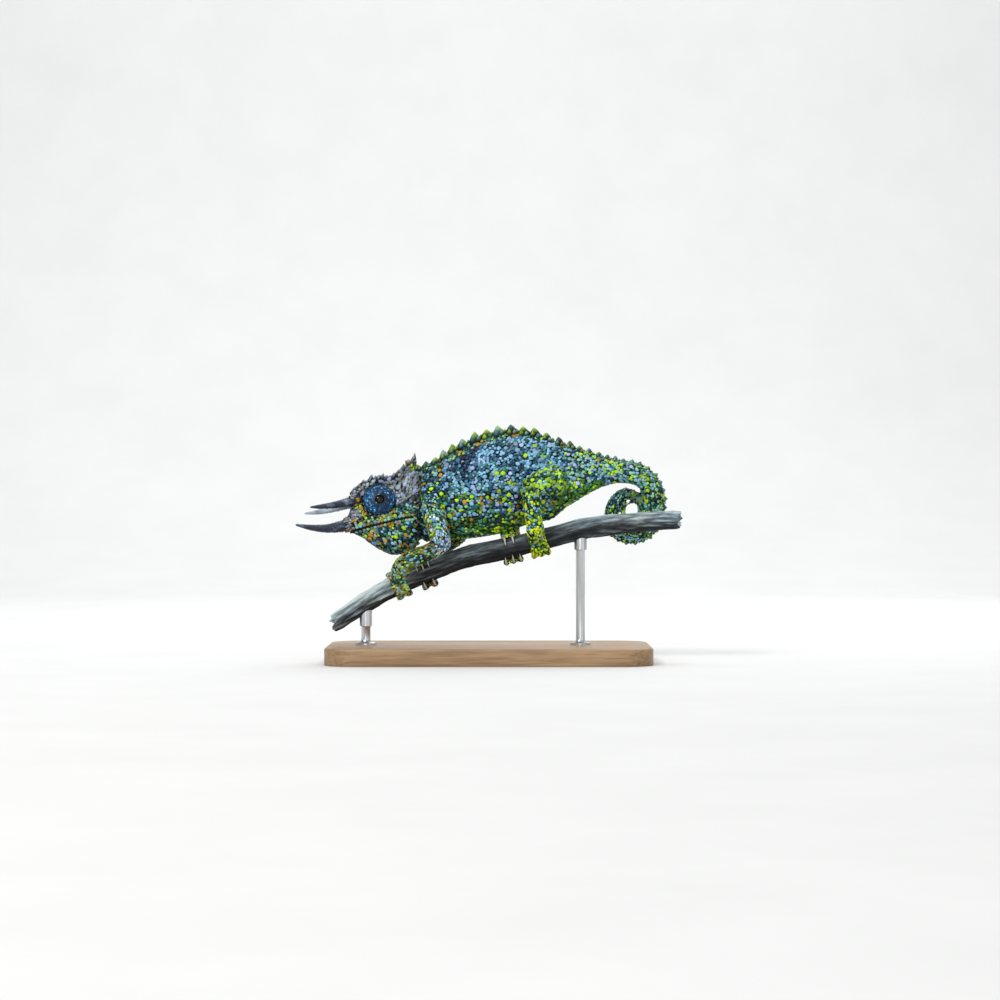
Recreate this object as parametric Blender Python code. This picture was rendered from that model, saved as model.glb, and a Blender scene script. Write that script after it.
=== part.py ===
# A life-size three-horned chameleon, an adult male, gripping a cut length of branch on a plain stand.
# X runs from the snout to the tail, -Y is the animal's left side and +Z is up.
# The origin is the middle of the stand's underside. Tables are in millimetres.

import math

import bmesh
import bpy
import numpy as np
from mathutils import Euler, Matrix, Vector

MM = 0.001
GAP = 0.3
SIDE = np.array([0.0, 1.0, 0.0])
UP = np.array([0.0, 0.0, 1.0])

# Stand
BASE_LENGTH = 168.0
BASE_WIDTH = 88.0
BASE_THICK = 9.0
BASE_CORNER = 16.0
ROD_RADIUS = 2.4
ROD_X = {"stand_rod_front": -64.0, "stand_rod_rear": 47.5}

# Branch: x, z of its centre line and its radius
BRANCH = np.array(
    [
        (-80.6, 19.9, 4.7),
        (-69.2, 27.7, 5.0),
        (-56.7, 35.5, 5.1),
        (-44.2, 41.9, 5.3),
        (-31.7, 47.2, 5.4),
        (-12.5, 54.3, 5.5),
        (10.9, 59.5, 5.3),
        (33.8, 65.2, 5.3),
        (52.5, 69.9, 5.3),
        (78.5, 72.7, 5.1),
        (99.2, 74.0, 4.9),
    ]
)
BARK_RELIEF = 0.2
BRANCH_CLEAR = 0.35

# The head meets the neck in an upright plane at this x
NECK_X = -35.6
# Lengths of body: x, y, z of the middle, then its reach up, down and sideways, and the power
# that shapes its upper half, where 2 is an ellipse and less is a keel.
TRUNK = [
    (-44.0, 0.0, 81.4, 18.6, 18.8, 9.0, 1.7),
    (-36.0, 0.0, 82.6, 19.0, 20.6, 9.4, 1.7),
    (-30.0, 0.0, 84.0, 18.1, 22.4, 10.4, 1.65),
    (-21.8, 0.0, 86.0, 19.8, 23.8, 11.6, 1.6),
    (-12.5, 0.0, 88.2, 23.4, 24.8, 12.6, 1.55),
    (-2.1, 0.0, 90.6, 25.8, 25.5, 13.0, 1.5),
    (9.4, 0.0, 92.7, 27.1, 24.4, 12.8, 1.5),
    (20.3, 0.0, 94.5, 25.8, 22.9, 11.8, 1.5),
    (29.6, 0.0, 96.0, 22.2, 22.5, 10.0, 1.55),
    (38.0, 0.0, 97.2, 17.8, 17.6, 8.3, 1.6),
    (47.3, 0.2, 98.2, 12.9, 13.2, 6.9, 1.7),
    (57.7, 0.9, 98.9, 8.6, 8.6, 5.9, 1.8),
    (67.1, 2.6, 98.8, 6.3, 6.2, 5.4, 1.9),
]
# Tail coil, seen from the animal's left: turn clockwise from the +X direction in degrees,
# distance from the coil's middle, radius of the tail, and distance behind the branch's line
COIL_MIDDLE = (75.2, 79.0)
COIL = [
    (-93.0, 19.2, 5.9, 4.6),
    (-73.0, 17.6, 5.8, 6.8),
    (-51.0, 15.2, 5.7, 9.0),
    (-28.0, 13.1, 5.55, 10.7),
    (0.0, 11.7, 5.4, 11.5),
    (32.0, 11.7, 5.3, 11.4),
    (62.0, 12.4, 5.1, 11.1),
    (92.0, 13.2, 4.85, 10.8),
    (120.0, 13.5, 4.6, 10.5),
    (148.0, 12.6, 4.3, 10.3),
    (180.0, 10.9, 4.05, 10.2),
    (215.0, 9.9, 3.8, 10.2),
    (250.0, 9.2, 3.5, 10.2),
    (288.0, 7.0, 2.95, 10.3),
    (324.0, 4.8, 2.3, 10.4),
    (360.0, 3.85, 1.85, 10.4),
    (405.0, 4.4, 1.85, 10.2),
    (450.0, 5.6, 1.95, 10.2),
    (495.0, 6.0, 1.85, 10.2),
    (540.0, 4.8, 1.5, 10.2),
    (580.0, 4.3, 1.2, 10.2),
    (620.0, 3.8, 0.9, 10.2),
    (650.0, 3.2, 0.5, 10.2),
]
# Node, first and last station, rings and sides along the trunk and tail
AXIS_NODES = [
    ("neck", 0.0, 2.6, 6, 20),
    ("torso", 2.6, 9.3, 19, 24),
    ("tail_base", 9.3, 13.0, 9, 16),
    ("tail_bend", 13.0, 17.0, 10, 14),
    ("tail_under_branch", 17.0, 21.0, 9, 12),
    ("tail_coil", 21.0, 25.5, 9, 10),
    ("tail_inner_coil", 25.5, 30.0, 10, 8),
    ("tail_tip", 30.0, 35.0, 9, 8),
]
# Dorsal crest: station, height and length of a spine, and the step to the next one
CREST = [
    (1.5, 1.6, 3.6, 4.6),
    (3.0, 2.6, 4.6, 5.2),
    (5.5, 3.3, 5.6, 6.2),
    (7.5, 2.8, 5.2, 5.8),
    (10.0, 2.0, 3.8, 4.6),
    (13.0, 1.4, 3.0, 3.8),
    (19.0, 0.9, 2.4, 3.3),
    (22.0, 0.6, 2.0, 3.0),
]
CREST_WIDTH = 0.62
SPINE_SINK = 1.1

# Head, from the tip of the snout: x, z of its widest level, reach up and down, half width, power
SNOUT = (-73.8, 70.1)
HEAD_PIVOT = (38.4, 0.0, 13.3)
HEAD_YAW = 7.0
HEAD_ROLL = -5.0
SKULL = [
    (0.0, 0.0, 1.8, 2.6, 2.6, 2.6, 2.2),
    (1.2, 0.0, 3.0, 5.4, 4.8, 4.4, 2.3),
    (3.8, 0.0, 4.5, 11.4, 8.2, 6.0, 2.5),
    (8.0, 0.0, 5.0, 14.6, 10.8, 7.3, 2.6),
    (13.0, 0.0, 5.0, 17.2, 14.8, 8.2, 2.4),
    (18.0, 0.0, 4.4, 18.4, 17.2, 8.9, 2.1),
    (23.0, 0.0, 3.8, 20.4, 18.4, 9.6, 1.75),
    (28.0, 0.0, 4.4, 23.6, 18.8, 10.1, 1.5),
    (33.0, 0.0, 6.0, 26.0, 18.4, 10.1, 1.35),
    (37.0, 0.0, 9.6, 22.6, 19.2, 9.6, 1.4),
    (41.0, 0.0, 12.2, 18.8, 20.6, 9.2, 1.6),
    (45.0, 0.0, 13.0, 17.2, 20.6, 9.2, 1.6),
]
MOUTH_LINE = [(-4.0, -2.9), (1.4, -2.4), (5.0, -1.6), (15.1, 0.8), (24.1, 2.9), (30.0, 4.1), (37.2, 4.7), (50.0, 4.8)]
LIP_RADIUS = 0.95
LIP_OFFSET = 0.85
# Brow and casque crest: x, y, z and radius of the ridge
CREST_RIDGE = [
    (3.0, 4.2, 17.0, 1.5),
    (7.5, 5.4, 20.2, 1.7),
    (12.5, 6.0, 22.6, 1.7),
    (17.5, 6.0, 23.6, 1.7),
    (22.5, 5.6, 23.6, 1.6),
    (27.0, 4.6, 26.6, 1.6),
    (31.0, 3.2, 30.2, 1.6),
    (35.2, 1.2, 33.6, 1.5),
]
# The roof of the skull beside the brow, over the eye's socket: inward and down from the ridge, and radius
ROOF_SHELF = (2.1, 1.9, 1.9)
RIDGE_KNOBS = 9
TEMPLE_ROW = [(26.5, 12.0), (30.0, 14.5), (33.5, 16.5), (36.4, 18.2)]
EYE = (16.1, 13.5)
EYE_STRETCH = (1.04, 0.97)
TURRET = [(7.9, 5.0), (8.2, 6.6), (7.8, 8.4), (6.6, 10.0), (5.1, 11.1), (3.7, 11.9), (2.9, 12.3), (2.35, 12.2)]
EYEBALL_RADIUS = 3.4
EYEBALL_Y = 8.2
POCKET_FLOOR = 4.6
NOSTRIL = (2.6, 4.1, 9.6)
NOSTRIL_RADIUS = 0.85
# Horns in the head's own frame: x, y, z, radius
HORNS = {
    "horn_nose": [
        (4.5, 0.0, 2.4, 3.4),
        (0.5, 0.0, 1.4, 3.3),
        (-3.6, 0.0, 0.3, 2.9),
        (-11.0, 0.0, -0.7, 2.2),
        (-18.8, 0.0, -0.2, 1.5),
        (-26.3, 0.0, 1.2, 0.6),
    ],
    "horn_left": [
        (6.6, -3.8, 14.4, 2.6),
        (3.8, -4.5, 13.5, 2.6),
        (-1.2, -5.2, 12.2, 2.2),
        (-7.7, -5.9, 10.9, 1.7),
        (-14.0, -6.5, 10.1, 1.2),
        (-19.4, -6.9, 9.8, 0.5),
    ],
    "horn_right": [
        (6.6, 3.8, 14.4, 2.6),
        (3.8, 4.5, 13.3, 2.6),
        (-1.4, 5.2, 11.6, 2.2),
        (-8.2, 5.9, 9.7, 1.7),
        (-15.0, 6.5, 8.3, 1.2),
        (-21.4, 6.9, 7.6, 0.5),
    ],
}
HORN_RINGS = 13
HORN_RIB = 0.05

# Limbs: upper and lower length as body tables, where the lower length is parted at the wrist,
# the branch x that the foot grips, and the side that the foot is on, -1 for the left
UPPER_LIMBS = {
    "upper_arm_left": [
        (-28.4, -3.0, 86.5, 6.4, 6.2, 5.6, 2.0),
        (-29.0, -9.8, 80.4, 6.4, 6.0, 5.4, 2.0),
        (-27.2, -14.2, 71.0, 5.9, 5.8, 5.3, 2.0),
        (-24.2, -15.6, 62.0, 5.3, 5.3, 4.9, 2.0),
    ],
    "upper_arm_right": [
        (-28.4, 3.0, 86.5, 6.4, 6.2, 5.6, 2.0),
        (-26.6, 9.8, 80.4, 6.4, 6.0, 5.4, 2.0),
        (-21.4, 14.6, 73.4, 5.7, 5.5, 5.2, 2.0),
        (-15.6, 16.6, 67.0, 4.9, 5.0, 4.8, 2.0),
    ],
    "thigh_left": [
        (38.5, -0.5, 94.7, 7.2, 7.2, 5.6, 2.0),
        (34.6, -7.4, 94.4, 8.8, 8.6, 6.6, 2.0),
        (27.8, -12.8, 93.2, 7.2, 7.2, 6.0, 2.0),
        (22.2, -15.6, 91.4, 5.8, 5.8, 5.4, 2.0),
    ],
    "thigh_right": [
        (38.0, 0.5, 94.7, 7.2, 7.2, 5.6, 2.0),
        (33.0, 8.0, 93.8, 8.8, 8.6, 6.6, 2.0),
        (25.0, 13.6, 91.4, 7.2, 7.2, 6.0, 2.0),
        (17.8, 16.4, 88.8, 5.8, 5.8, 5.4, 2.0),
    ],
}
LOWER_LIMBS = {
    "left_front": [
        (-24.6, -15.6, 61.4, 5.0, 5.0, 4.5, 2.0),
        (-30.6, -15.6, 57.4, 5.0, 4.8, 4.5, 2.0),
        (-37.0, -14.0, 55.4, 5.4, 4.6, 4.4, 2.0),
        (-43.2, -12.2, 52.2, 5.5, 4.6, 4.4, 2.0),
        (-46.3, -9.8, 47.4, 4.5, 4.5, 4.4, 2.0),
        (-46.9, -7.8, 43.4, 3.9, 3.9, 3.8, 2.0),
    ],
    "right_front": [
        (-15.6, 16.6, 66.0, 5.0, 5.0, 4.5, 2.0),
        (-21.0, 16.4, 62.0, 5.0, 4.8, 4.5, 2.0),
        (-26.0, 14.8, 58.8, 4.6, 4.4, 4.3, 2.0),
        (-30.4, 12.8, 55.4, 4.4, 4.3, 4.3, 2.0),
        (-32.9, 10.2, 51.6, 4.5, 4.5, 4.4, 2.0),
        (-33.3, 8.0, 48.0, 3.9, 3.9, 3.8, 2.0),
    ],
    "left_hind": [
        (22.0, -15.6, 91.0, 5.3, 5.3, 5.0, 2.0),
        (22.0, -15.9, 84.4, 5.3, 5.3, 5.0, 2.0),
        (22.6, -15.0, 77.6, 4.9, 4.9, 4.7, 2.0),
        (23.5, -12.8, 71.6, 4.7, 4.7, 4.5, 2.0),
        (24.2, -10.2, 67.2, 4.9, 4.9, 4.6, 2.0),
        (24.4, -8.0, 63.4, 4.1, 4.1, 3.8, 2.0),
    ],
    "right_hind": [
        (17.6, 16.4, 88.4, 5.3, 5.3, 5.0, 2.0),
        (14.8, 16.8, 82.4, 5.3, 5.3, 5.0, 2.0),
        (12.6, 15.8, 76.0, 4.9, 4.9, 4.7, 2.0),
        (11.7, 13.4, 69.4, 4.7, 4.7, 4.5, 2.0),
        (11.6, 10.4, 64.4, 4.9, 4.9, 4.6, 2.0),
        (11.6, 8.2, 60.8, 4.1, 4.1, 3.8, 2.0),
    ],
}
LOWER_NAMES = {
    "left_front": ("forearm_left", "hand_left", "upper_arm_left"),
    "right_front": ("forearm_right", "hand_right", "upper_arm_right"),
    "left_hind": ("shin_left", "foot_left", "thigh_left"),
    "right_hind": ("shin_right", "foot_right", "thigh_right"),
}
# Where each foot grips along the branch, and half the thickness of its toes
GRIP = {
    "left_front": (-46.6, 1.7),
    "right_front": (-33.2, 2.05),
    "left_hind": (25.4, 2.05),
    "right_hind": (11.2, 2.05),
}
WRIST_STATION = 3.2
# Toe bundles: how many toes, start and end angle round the branch from its top towards the foot's
# own side, half width of a toe, spread along the branch and share of the foot's thickness
INNER_TOES = {"front": (3, 70.0, -34.0, 1.85, 3.0, 0.75), "hind": (2, 70.0, -36.0, 2.3, 2.1, 0.62)}
OUTER_TOES = {"front": (2, 62.0, 186.0, 2.6, 2.4, 1.0), "hind": (3, 62.0, 184.0, 2.2, 3.7, 1.0)}
TOE_RINGS = 5
CLAW_START = 4.0
CLAW_SWEEP = 42.0
CLAW_RADIUS = 0.85

COLOURS = {
    "skin_blue": ((0.12, 0.27, 0.31), 0.6, 0.0),
    "skin_green": ((0.13, 0.26, 0.10), 0.6, 0.0),
    "skin_tail": ((0.20, 0.33, 0.24), 0.6, 0.0),
    "turret": ((0.035, 0.10, 0.17), 0.55, 0.0),
    "eye": ((0.006, 0.005, 0.005), 0.06, 0.0),
    "horn": ((0.05, 0.06, 0.09), 0.5, 0.0),
    "bark": ((0.11, 0.12, 0.12), 0.85, 0.0),
    "stand_wood": ((0.42, 0.30, 0.19), 0.5, 0.0),
    "stand_steel": ((0.55, 0.55, 0.55), 0.3, 1.0),
}


def make_material(name):
    colour, roughness, metallic = COLOURS[name]
    material = bpy.data.materials.new(name)
    material.use_nodes = True
    shader = material.node_tree.nodes["Principled BSDF"]
    shader.inputs["Base Color"].default_value = (*colour, 1.0)
    shader.inputs["Roughness"].default_value = roughness
    shader.inputs["Metallic"].default_value = metallic
    return material


def finish(obj, material, angle=40.0):
    """Gives a solid its one material and smooth shading."""
    obj.data.materials.clear()
    obj.data.materials.append(bpy.data.materials.get(material) or make_material(material))
    obj.data.polygons.foreach_set("material_index", [0] * len(obj.data.polygons))
    obj.data.shade_smooth()
    obj.data.set_sharp_from_angle(angle=math.radians(angle))
    return obj


def new_object(name, points, faces):
    """A closed mesh object from points in millimetres, with its faces turned outwards."""
    mesh = bpy.data.meshes.new(name)
    mesh.from_pydata([Vector(p) * MM for p in points], [], faces)
    shape = bmesh.new()
    shape.from_mesh(mesh)
    bmesh.ops.recalc_face_normals(shape, faces=shape.faces)
    shape.to_mesh(mesh)
    shape.free()
    obj = bpy.data.objects.new(name, mesh)
    bpy.context.scene.collection.objects.link(obj)
    return obj


def smooth(table, t):
    """The row of a table at a station that may lie between two, on a smooth curve through them."""
    rows = np.asarray(table, float)
    last = len(rows) - 1
    i = min(max(int(math.floor(t)), 0), last - 1)
    f = t - i
    here, there = rows[i], rows[i + 1]
    before = rows[i - 1] if i > 0 else 2 * here - there
    after = rows[i + 2] if i + 2 <= last else 2 * there - here
    return 0.5 * (
        2 * here
        + (there - before) * f
        + (2 * before - 5 * here + 4 * there - after) * f**2
        + (3 * here - before - 3 * there + after) * f**3
    )


def unit(vector):
    return vector / np.linalg.norm(vector)


def frame_at(table, t):
    """Middle, tangent, up and side of a table's curve at a station."""
    step = 0.02
    last = len(table) - 1
    ahead = smooth(table, min(t + step, last))[:3]
    behind = smooth(table, max(t - step, 0.0))[:3]
    tangent = unit(ahead - behind)
    side = unit(SIDE - tangent * (SIDE @ tangent))
    return smooth(table, t)[:3], tangent, np.cross(tangent, side), side


def section(middle, up, side, reach_up, reach_down, reach_side, power, sides):
    """One ring: an ellipse below and, above, a curve of the power given."""
    points = []
    for k in range(sides):
        angle = 2 * math.pi * k / sides
        c, s = math.cos(angle), math.sin(angle)
        share = 2 / power if c > 0 else 1.0
        rise = math.copysign(abs(c) ** share, c) * (reach_up if c > 0 else reach_down)
        out = math.copysign(abs(s) ** share, s) * reach_side
        points.append(middle + up * rise + side * out)
    return points


def station_ring(table, t, sides, grow=0.0, shrink=1.0, ahead=0.0):
    middle, tangent, up, side = frame_at(table, t)
    row = smooth(table, t)
    reach = [(value + grow) * shrink for value in row[3:6]]
    return section(middle + tangent * ahead, up, side, *reach, row[6], sides)


def tube(name, rings, start_tip=None, end_tip=None):
    """A closed solid through rings of equal count, each end flat or drawn to a tip."""
    sides = len(rings[0])
    points = [p for ring in rings for p in ring]
    faces = []
    for i in range(len(rings) - 1):
        for k in range(sides):
            n = (k + 1) % sides
            faces.append((i * sides + k, i * sides + n, (i + 1) * sides + n, (i + 1) * sides + k))
    for tip, first in ((start_tip, 0), (end_tip, (len(rings) - 1) * sides)):
        if tip is None:
            faces.append(tuple(range(first, first + sides)))
            continue
        points.append(tip)
        faces += [(first + k, first + (k + 1) % sides, len(points) - 1) for k in range(sides)]
    return new_object(name, points, faces)


def length_of_body(name, table, start, end, rings, sides, grow=0.0, round_start=False, round_end=False):
    """A length of a body table between two stations, its flat ends drawn back by half the gap."""
    at = np.linspace(start, end, rings)
    made = [station_ring(table, t, sides, grow) for t in at]
    for index, sign, rounded in ((0, 1, round_start), (-1, -1, round_end)):
        tangent = frame_at(table, at[index])[1]
        if not rounded:
            pull = sign * (GAP / 2 - grow)
            made[index] = [p + tangent * pull for p in made[index]]
            continue
        reach = smooth(table, at[index])[5]
        for bend in (35.0, 65.0):
            shrink, ahead = math.cos(math.radians(bend)), -sign * reach * math.sin(math.radians(bend))
            ring = station_ring(table, at[index], sides, grow, shrink, ahead)
            made.insert(0 if sign > 0 else len(made), ring)
    return tube(name, made)


def boolean(obj, others, operation, solver="EXACT"):
    """Joins or cuts obj with other closed objects at once, applies it and removes them."""
    operands = bpy.data.collections.new("operands")
    bpy.context.scene.collection.children.link(operands)
    for other in others:
        operands.objects.link(other)
    modifier = obj.modifiers.new(operation.lower(), "BOOLEAN")
    modifier.operation = operation
    modifier.operand_type = "COLLECTION"
    modifier.collection = operands
    modifier.solver = solver
    bpy.context.view_layer.update()
    made = bpy.data.meshes.new_from_object(obj.evaluated_get(bpy.context.evaluated_depsgraph_get()))
    obj.modifiers.clear()
    obj.data = made
    for other in others:
        bpy.data.objects.remove(other)
    bpy.data.collections.remove(operands)
    keep_largest(obj)
    return obj


def keep_largest(obj):
    """Keeps the closed surface that holds the most, and drops scraps and sealed hollows."""
    shape = bmesh.new()
    shape.from_mesh(obj.data)
    bmesh.ops.triangulate(shape, faces=shape.faces)
    left = set(shape.faces)
    islands = []
    while left:
        island, queue = set(), [left.pop()]
        while queue:
            face = queue.pop()
            island.add(face)
            for edge in face.edges:
                for other in edge.link_faces:
                    if other in left:
                        left.discard(other)
                        queue.append(other)
        corners = [[v.co for v in face.verts] for face in island]
        islands.append((abs(sum(a.dot(b.cross(c)) for a, b, c in corners)), island))
    islands.sort(key=lambda entry: entry[0])
    dropped = [face for _, island in islands[:-1] for face in island]
    bmesh.ops.delete(shape, geom=dropped, context="FACES")
    shape.to_mesh(obj.data)
    shape.free()


def spine(base, up, along, height, reach_along, reach_across, lean, sides=6, sink=SPINE_SINK):
    """A tapered spine or knob: a sunk base, a swelling and a tip that leans along the body."""
    across = np.cross(up, along)
    rings = []
    for level, width in ((-sink, 1.0), (0.35 * height, 0.8)):
        shift = base + up * level + along * lean * max(level, 0.0) * 0.5
        ring = []
        for k in range(sides):
            angle = 2 * math.pi * (k + 0.5) / sides
            step = along * math.cos(angle) * reach_along + across * math.sin(angle) * reach_across
            ring.append(shift + step * width)
        rings.append(ring)
    return tube("spine", rings, end_tip=base + up * height + along * lean * height)


def coil_rows():
    """The tail's coil as body rows, curling under with the back of the tail outwards."""
    rows = []
    for turn, distance, radius, behind in COIL:
        angle = math.radians(turn)
        x = COIL_MIDDLE[0] + distance * math.cos(angle)
        z = COIL_MIDDLE[1] - distance * math.sin(angle)
        rows.append((x, behind, z, radius, radius, radius * 0.92, 2.0))
    return rows


def arc_lengths(table):
    at = np.linspace(0, len(table) - 1, 40 * len(table))
    points = np.array([smooth(table, t)[:3] for t in at])
    steps = np.linalg.norm(np.diff(points, axis=0), axis=1)
    return at, np.concatenate([[0], np.cumsum(steps)])


def crest_of(axis, start, end):
    """The dorsal spines rooted between two stations, clear of both cuts."""
    at, lengths = arc_lengths(axis)
    crest = np.array(CREST)
    spines = []
    travelled = np.interp(CREST[0][0], at, lengths)
    count = 0
    while travelled < np.interp(CREST[-1][0], at, lengths):
        t = np.interp(travelled, lengths, at)
        height, length, step = (np.interp(t, crest[:, 0], crest[:, k]) for k in (1, 2, 3))
        vary = 1.0 + 0.14 * math.sin(2.4 * count)
        first = np.interp(travelled - length / 2 - GAP, lengths, at)
        last = np.interp(travelled + length / 2 + GAP, lengths, at)
        if start <= first and last <= end:
            middle, tangent, up, _ = frame_at(axis, t)
            root = middle + up * (smooth(axis, t)[3] - 0.2)
            spines.append(spine(root, up, tangent, height * vary, length / 2, length / 2 * CREST_WIDTH, 0.3))
        travelled += step * (1.0 + 0.06 * math.sin(1.7 * count))
        count += 1
    return spines


def make_axis():
    """Neck, torso and the lengths of the tail, each with its part of the dorsal crest."""
    axis = TRUNK + coil_rows()
    nodes = {}
    last = len(axis) - 1
    for name, start, end, rings, sides in AXIS_NODES:
        node = length_of_body(name, axis, start, min(end, last), rings, sides)
        if name == "neck":
            boolean(node, [block_beside(NECK_X + GAP / 2, -1)], "DIFFERENCE")
        spines = crest_of(axis, start, end)
        if spines:
            boolean(node, spines, "UNION")
        material = "skin_tail" if name.startswith("tail") else "skin_blue"
        nodes[name] = finish(node, material)
    return axis, nodes


def branch_at(x):
    """Middle, tangent, upward normal and radius of the branch at an x."""
    middle = [x, 0.0, np.interp(x, *branch_line())]
    step = 1.0
    rise = np.interp(x + step, *branch_line()) - np.interp(x - step, *branch_line())
    tangent = unit(np.array([2 * step, 0.0, rise]))
    radius = float(np.interp(x, BRANCH[:, 0], BRANCH[:, 2]))
    return np.array(middle), tangent, np.array([-tangent[2], 0.0, tangent[0]]), radius


def branch_line():
    at = np.linspace(0, len(BRANCH) - 1, 12 * len(BRANCH))
    points = np.array([smooth(BRANCH, t) for t in at])
    return points[:, 0], points[:, 1]


def branch_solid(name, rings, sides, grow=0.0):
    """The branch, its bark uneven in slow ridges, its two ends sawn across."""
    made = []
    for x in np.linspace(BRANCH[0][0], BRANCH[-1][0], rings):
        middle, _, up, radius = branch_at(x)
        ring = []
        for k in range(sides):
            angle = 2 * math.pi * k / sides
            relief = math.sin(3 * angle + 0.11 * x) * math.sin(0.23 * x + angle)
            reach = radius + grow + BARK_RELIEF * relief
            ring.append(middle + (up * math.cos(angle) + SIDE * math.sin(angle)) * reach)
        made.append(ring)
    return tube(name, made)


def toe_ring(x, side, angle, lift, thick, width, sides):
    """A ring of a toe at an angle round the branch, lying lift above the bark."""
    middle, tangent, up, radius = branch_at(x)
    turn = math.radians(angle)
    outward = up * math.cos(turn) + SIDE * side * math.sin(turn)
    centre = middle + outward * (radius + BRANCH_CLEAR + BARK_RELIEF + lift)
    return section(centre, outward, tangent, thick, thick, width, 2.0, sides)


def toe_bundle(limb, side, bundle):
    """Toes side by side round the branch, each with its claw."""
    count, first, last, width, spread, share_of_thick = bundle
    grip_x, thick = GRIP[limb][0], GRIP[limb][1] * share_of_thick
    way = math.copysign(1.0, last - first)
    pieces = []
    for k in range(count):
        place = 0.0 if count == 1 else 2 * k / (count - 1) - 1
        end = first + (last - first) * (1.0 - 0.05 * abs(place))
        toe, claw = [], []
        for share in np.linspace(0, 1, TOE_RINGS):
            x = grip_x + place * spread * (0.5 + 0.5 * share)
            size = 1.0 - 0.2 * share**2
            angle = first + (end - first) * share
            toe.append(toe_ring(x, side, angle, thick * size, thick * size, width * size, 8))
        x = grip_x + place * spread
        for step, size in ((6.0, 0.66), (11.0, 0.38)):
            toe.append(toe_ring(x, side, end + way * step, thick * 0.72, thick * size, width * size, 8))
        pieces.append(tube("toe", toe))
        for share in (0.0, 0.35, 0.7, 1.0):
            size = CLAW_RADIUS * (1.0 - share**1.6 * 0.8)
            lift = thick * 0.85 * (1 - share) + size * share
            angle = end + way * (CLAW_START + CLAW_SWEEP * share)
            claw.append(toe_ring(x, side, angle, lift, size, size * 0.8, 5))
        pieces.append(tube("claw", claw))
    return pieces


def upper_limb(name, table, grow=0.0):
    return length_of_body(name, table, 0, len(table) - 1, 8, 14, grow, round_end=True)


def make_limbs(axis, nodes):
    """Arms and legs in three nodes each, cut back to the torso and parted at elbow and wrist."""
    for name, table in UPPER_LIMBS.items():
        limb = upper_limb(name, table)
        near = [length_of_body("clear", axis, s, e, n, k, GAP) for _, s, e, n, k in AXIS_NODES[:3]]
        nodes[name] = finish(boolean(limb, near, "DIFFERENCE"), "skin_green")
    for limb, table in LOWER_LIMBS.items():
        lower_name, foot_name, upper_name = LOWER_NAMES[limb]
        lower = length_of_body(lower_name, table, 0, WRIST_STATION, 8, 12, round_start=True)
        clear = [
            length_of_body("clear", axis, *AXIS_NODES[1][1:], GAP),
            upper_limb("clear", UPPER_LIMBS[upper_name], GAP),
        ]
        nodes[lower_name] = finish(boolean(lower, clear, "DIFFERENCE"), "skin_green")
        foot = length_of_body(foot_name, table, WRIST_STATION, len(table) - 1, 5, 12, round_end=True)
        side = -1 if limb.startswith("left") else 1
        kind = limb.split("_")[1]
        toes = toe_bundle(limb, side, INNER_TOES[kind]) + toe_bundle(limb, side, OUTER_TOES[kind])
        boolean(foot, toes, "UNION")
        torso = length_of_body("clear", axis, *AXIS_NODES[1][1:], GAP)
        boolean(foot, [branch_solid("clear", 60, 20, GAP), torso], "DIFFERENCE")
        nodes[foot_name] = finish(foot, "skin_green")


def skull(name, rings, sides, grow=0.0):
    """The head's main body, in upright rings from the snout to the neck, its front rounded."""
    made = []
    for bend in (65.0, 35.0):
        row = SKULL[0]
        shrink, ahead = math.cos(math.radians(bend)), row[5] * math.sin(math.radians(bend))
        reach = [(value + grow) * shrink for value in row[3:6]]
        middle = np.array([row[0] - ahead - grow, 0.0, row[2]])
        made.append(section(middle, UP, SIDE, *reach, row[6], sides))
    for t in np.linspace(0, len(SKULL) - 1, rings):
        row = smooth(SKULL, t)
        made.append(section(row[:3], UP, SIDE, *(row[3:6] + grow), row[6], sides))
    return tube(name, made)


def skull_half_width(x, z):
    """How far the skull reaches sideways at a level."""
    rows = np.array(SKULL)
    t = np.interp(x, rows[:, 0], np.arange(len(rows)))
    _, _, middle, up, down, width, power = smooth(SKULL, t)
    share = (z - middle) / up if z > middle else (middle - z) / down
    power = power if z > middle else 2.0
    return width * max(1 - min(abs(share), 1.0) ** power, 0.0) ** (1 / power)


def mirrored(points):
    return [(x, -y, z, *more) for x, y, z, *more in points]


def round_path(name, points, rings, sides=8):
    """A tube of changing radius through x, y, z, radius points, its ends rounded."""
    table = [(x, y, z, r, r, r, 2.0) for x, y, z, r in points]
    return length_of_body(name, table, 0, len(table) - 1, rings, sides, round_start=True, round_end=True)


def lip(offset):
    """A lip that runs from one jaw corner round the snout to the other."""
    right = []
    for x in (36.0, 29.0, 22.0, 15.0, 9.0, 4.5, 1.8):
        z = np.interp(x, *zip(*MOUTH_LINE)) + offset
        right.append((x, skull_half_width(x, z) - 0.35, z))
    middle = [(0.9, 0.0, right[-1][2] - 0.1)]
    line = np.array(right + middle + [(x, -y, z) for x, y, z in reversed(right)])
    rings = []
    for i, point in enumerate(line):
        ahead, behind = line[min(i + 1, len(line) - 1)], line[max(i - 1, 0)]
        tangent = unit(ahead - behind)
        out = unit(np.cross(tangent, [0, 0, 1.0]))
        rings.append(section(point, np.cross(out, tangent), out, LIP_RADIUS, LIP_RADIUS, LIP_RADIUS, 2.0, 6))
    return tube("lip", rings)


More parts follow.
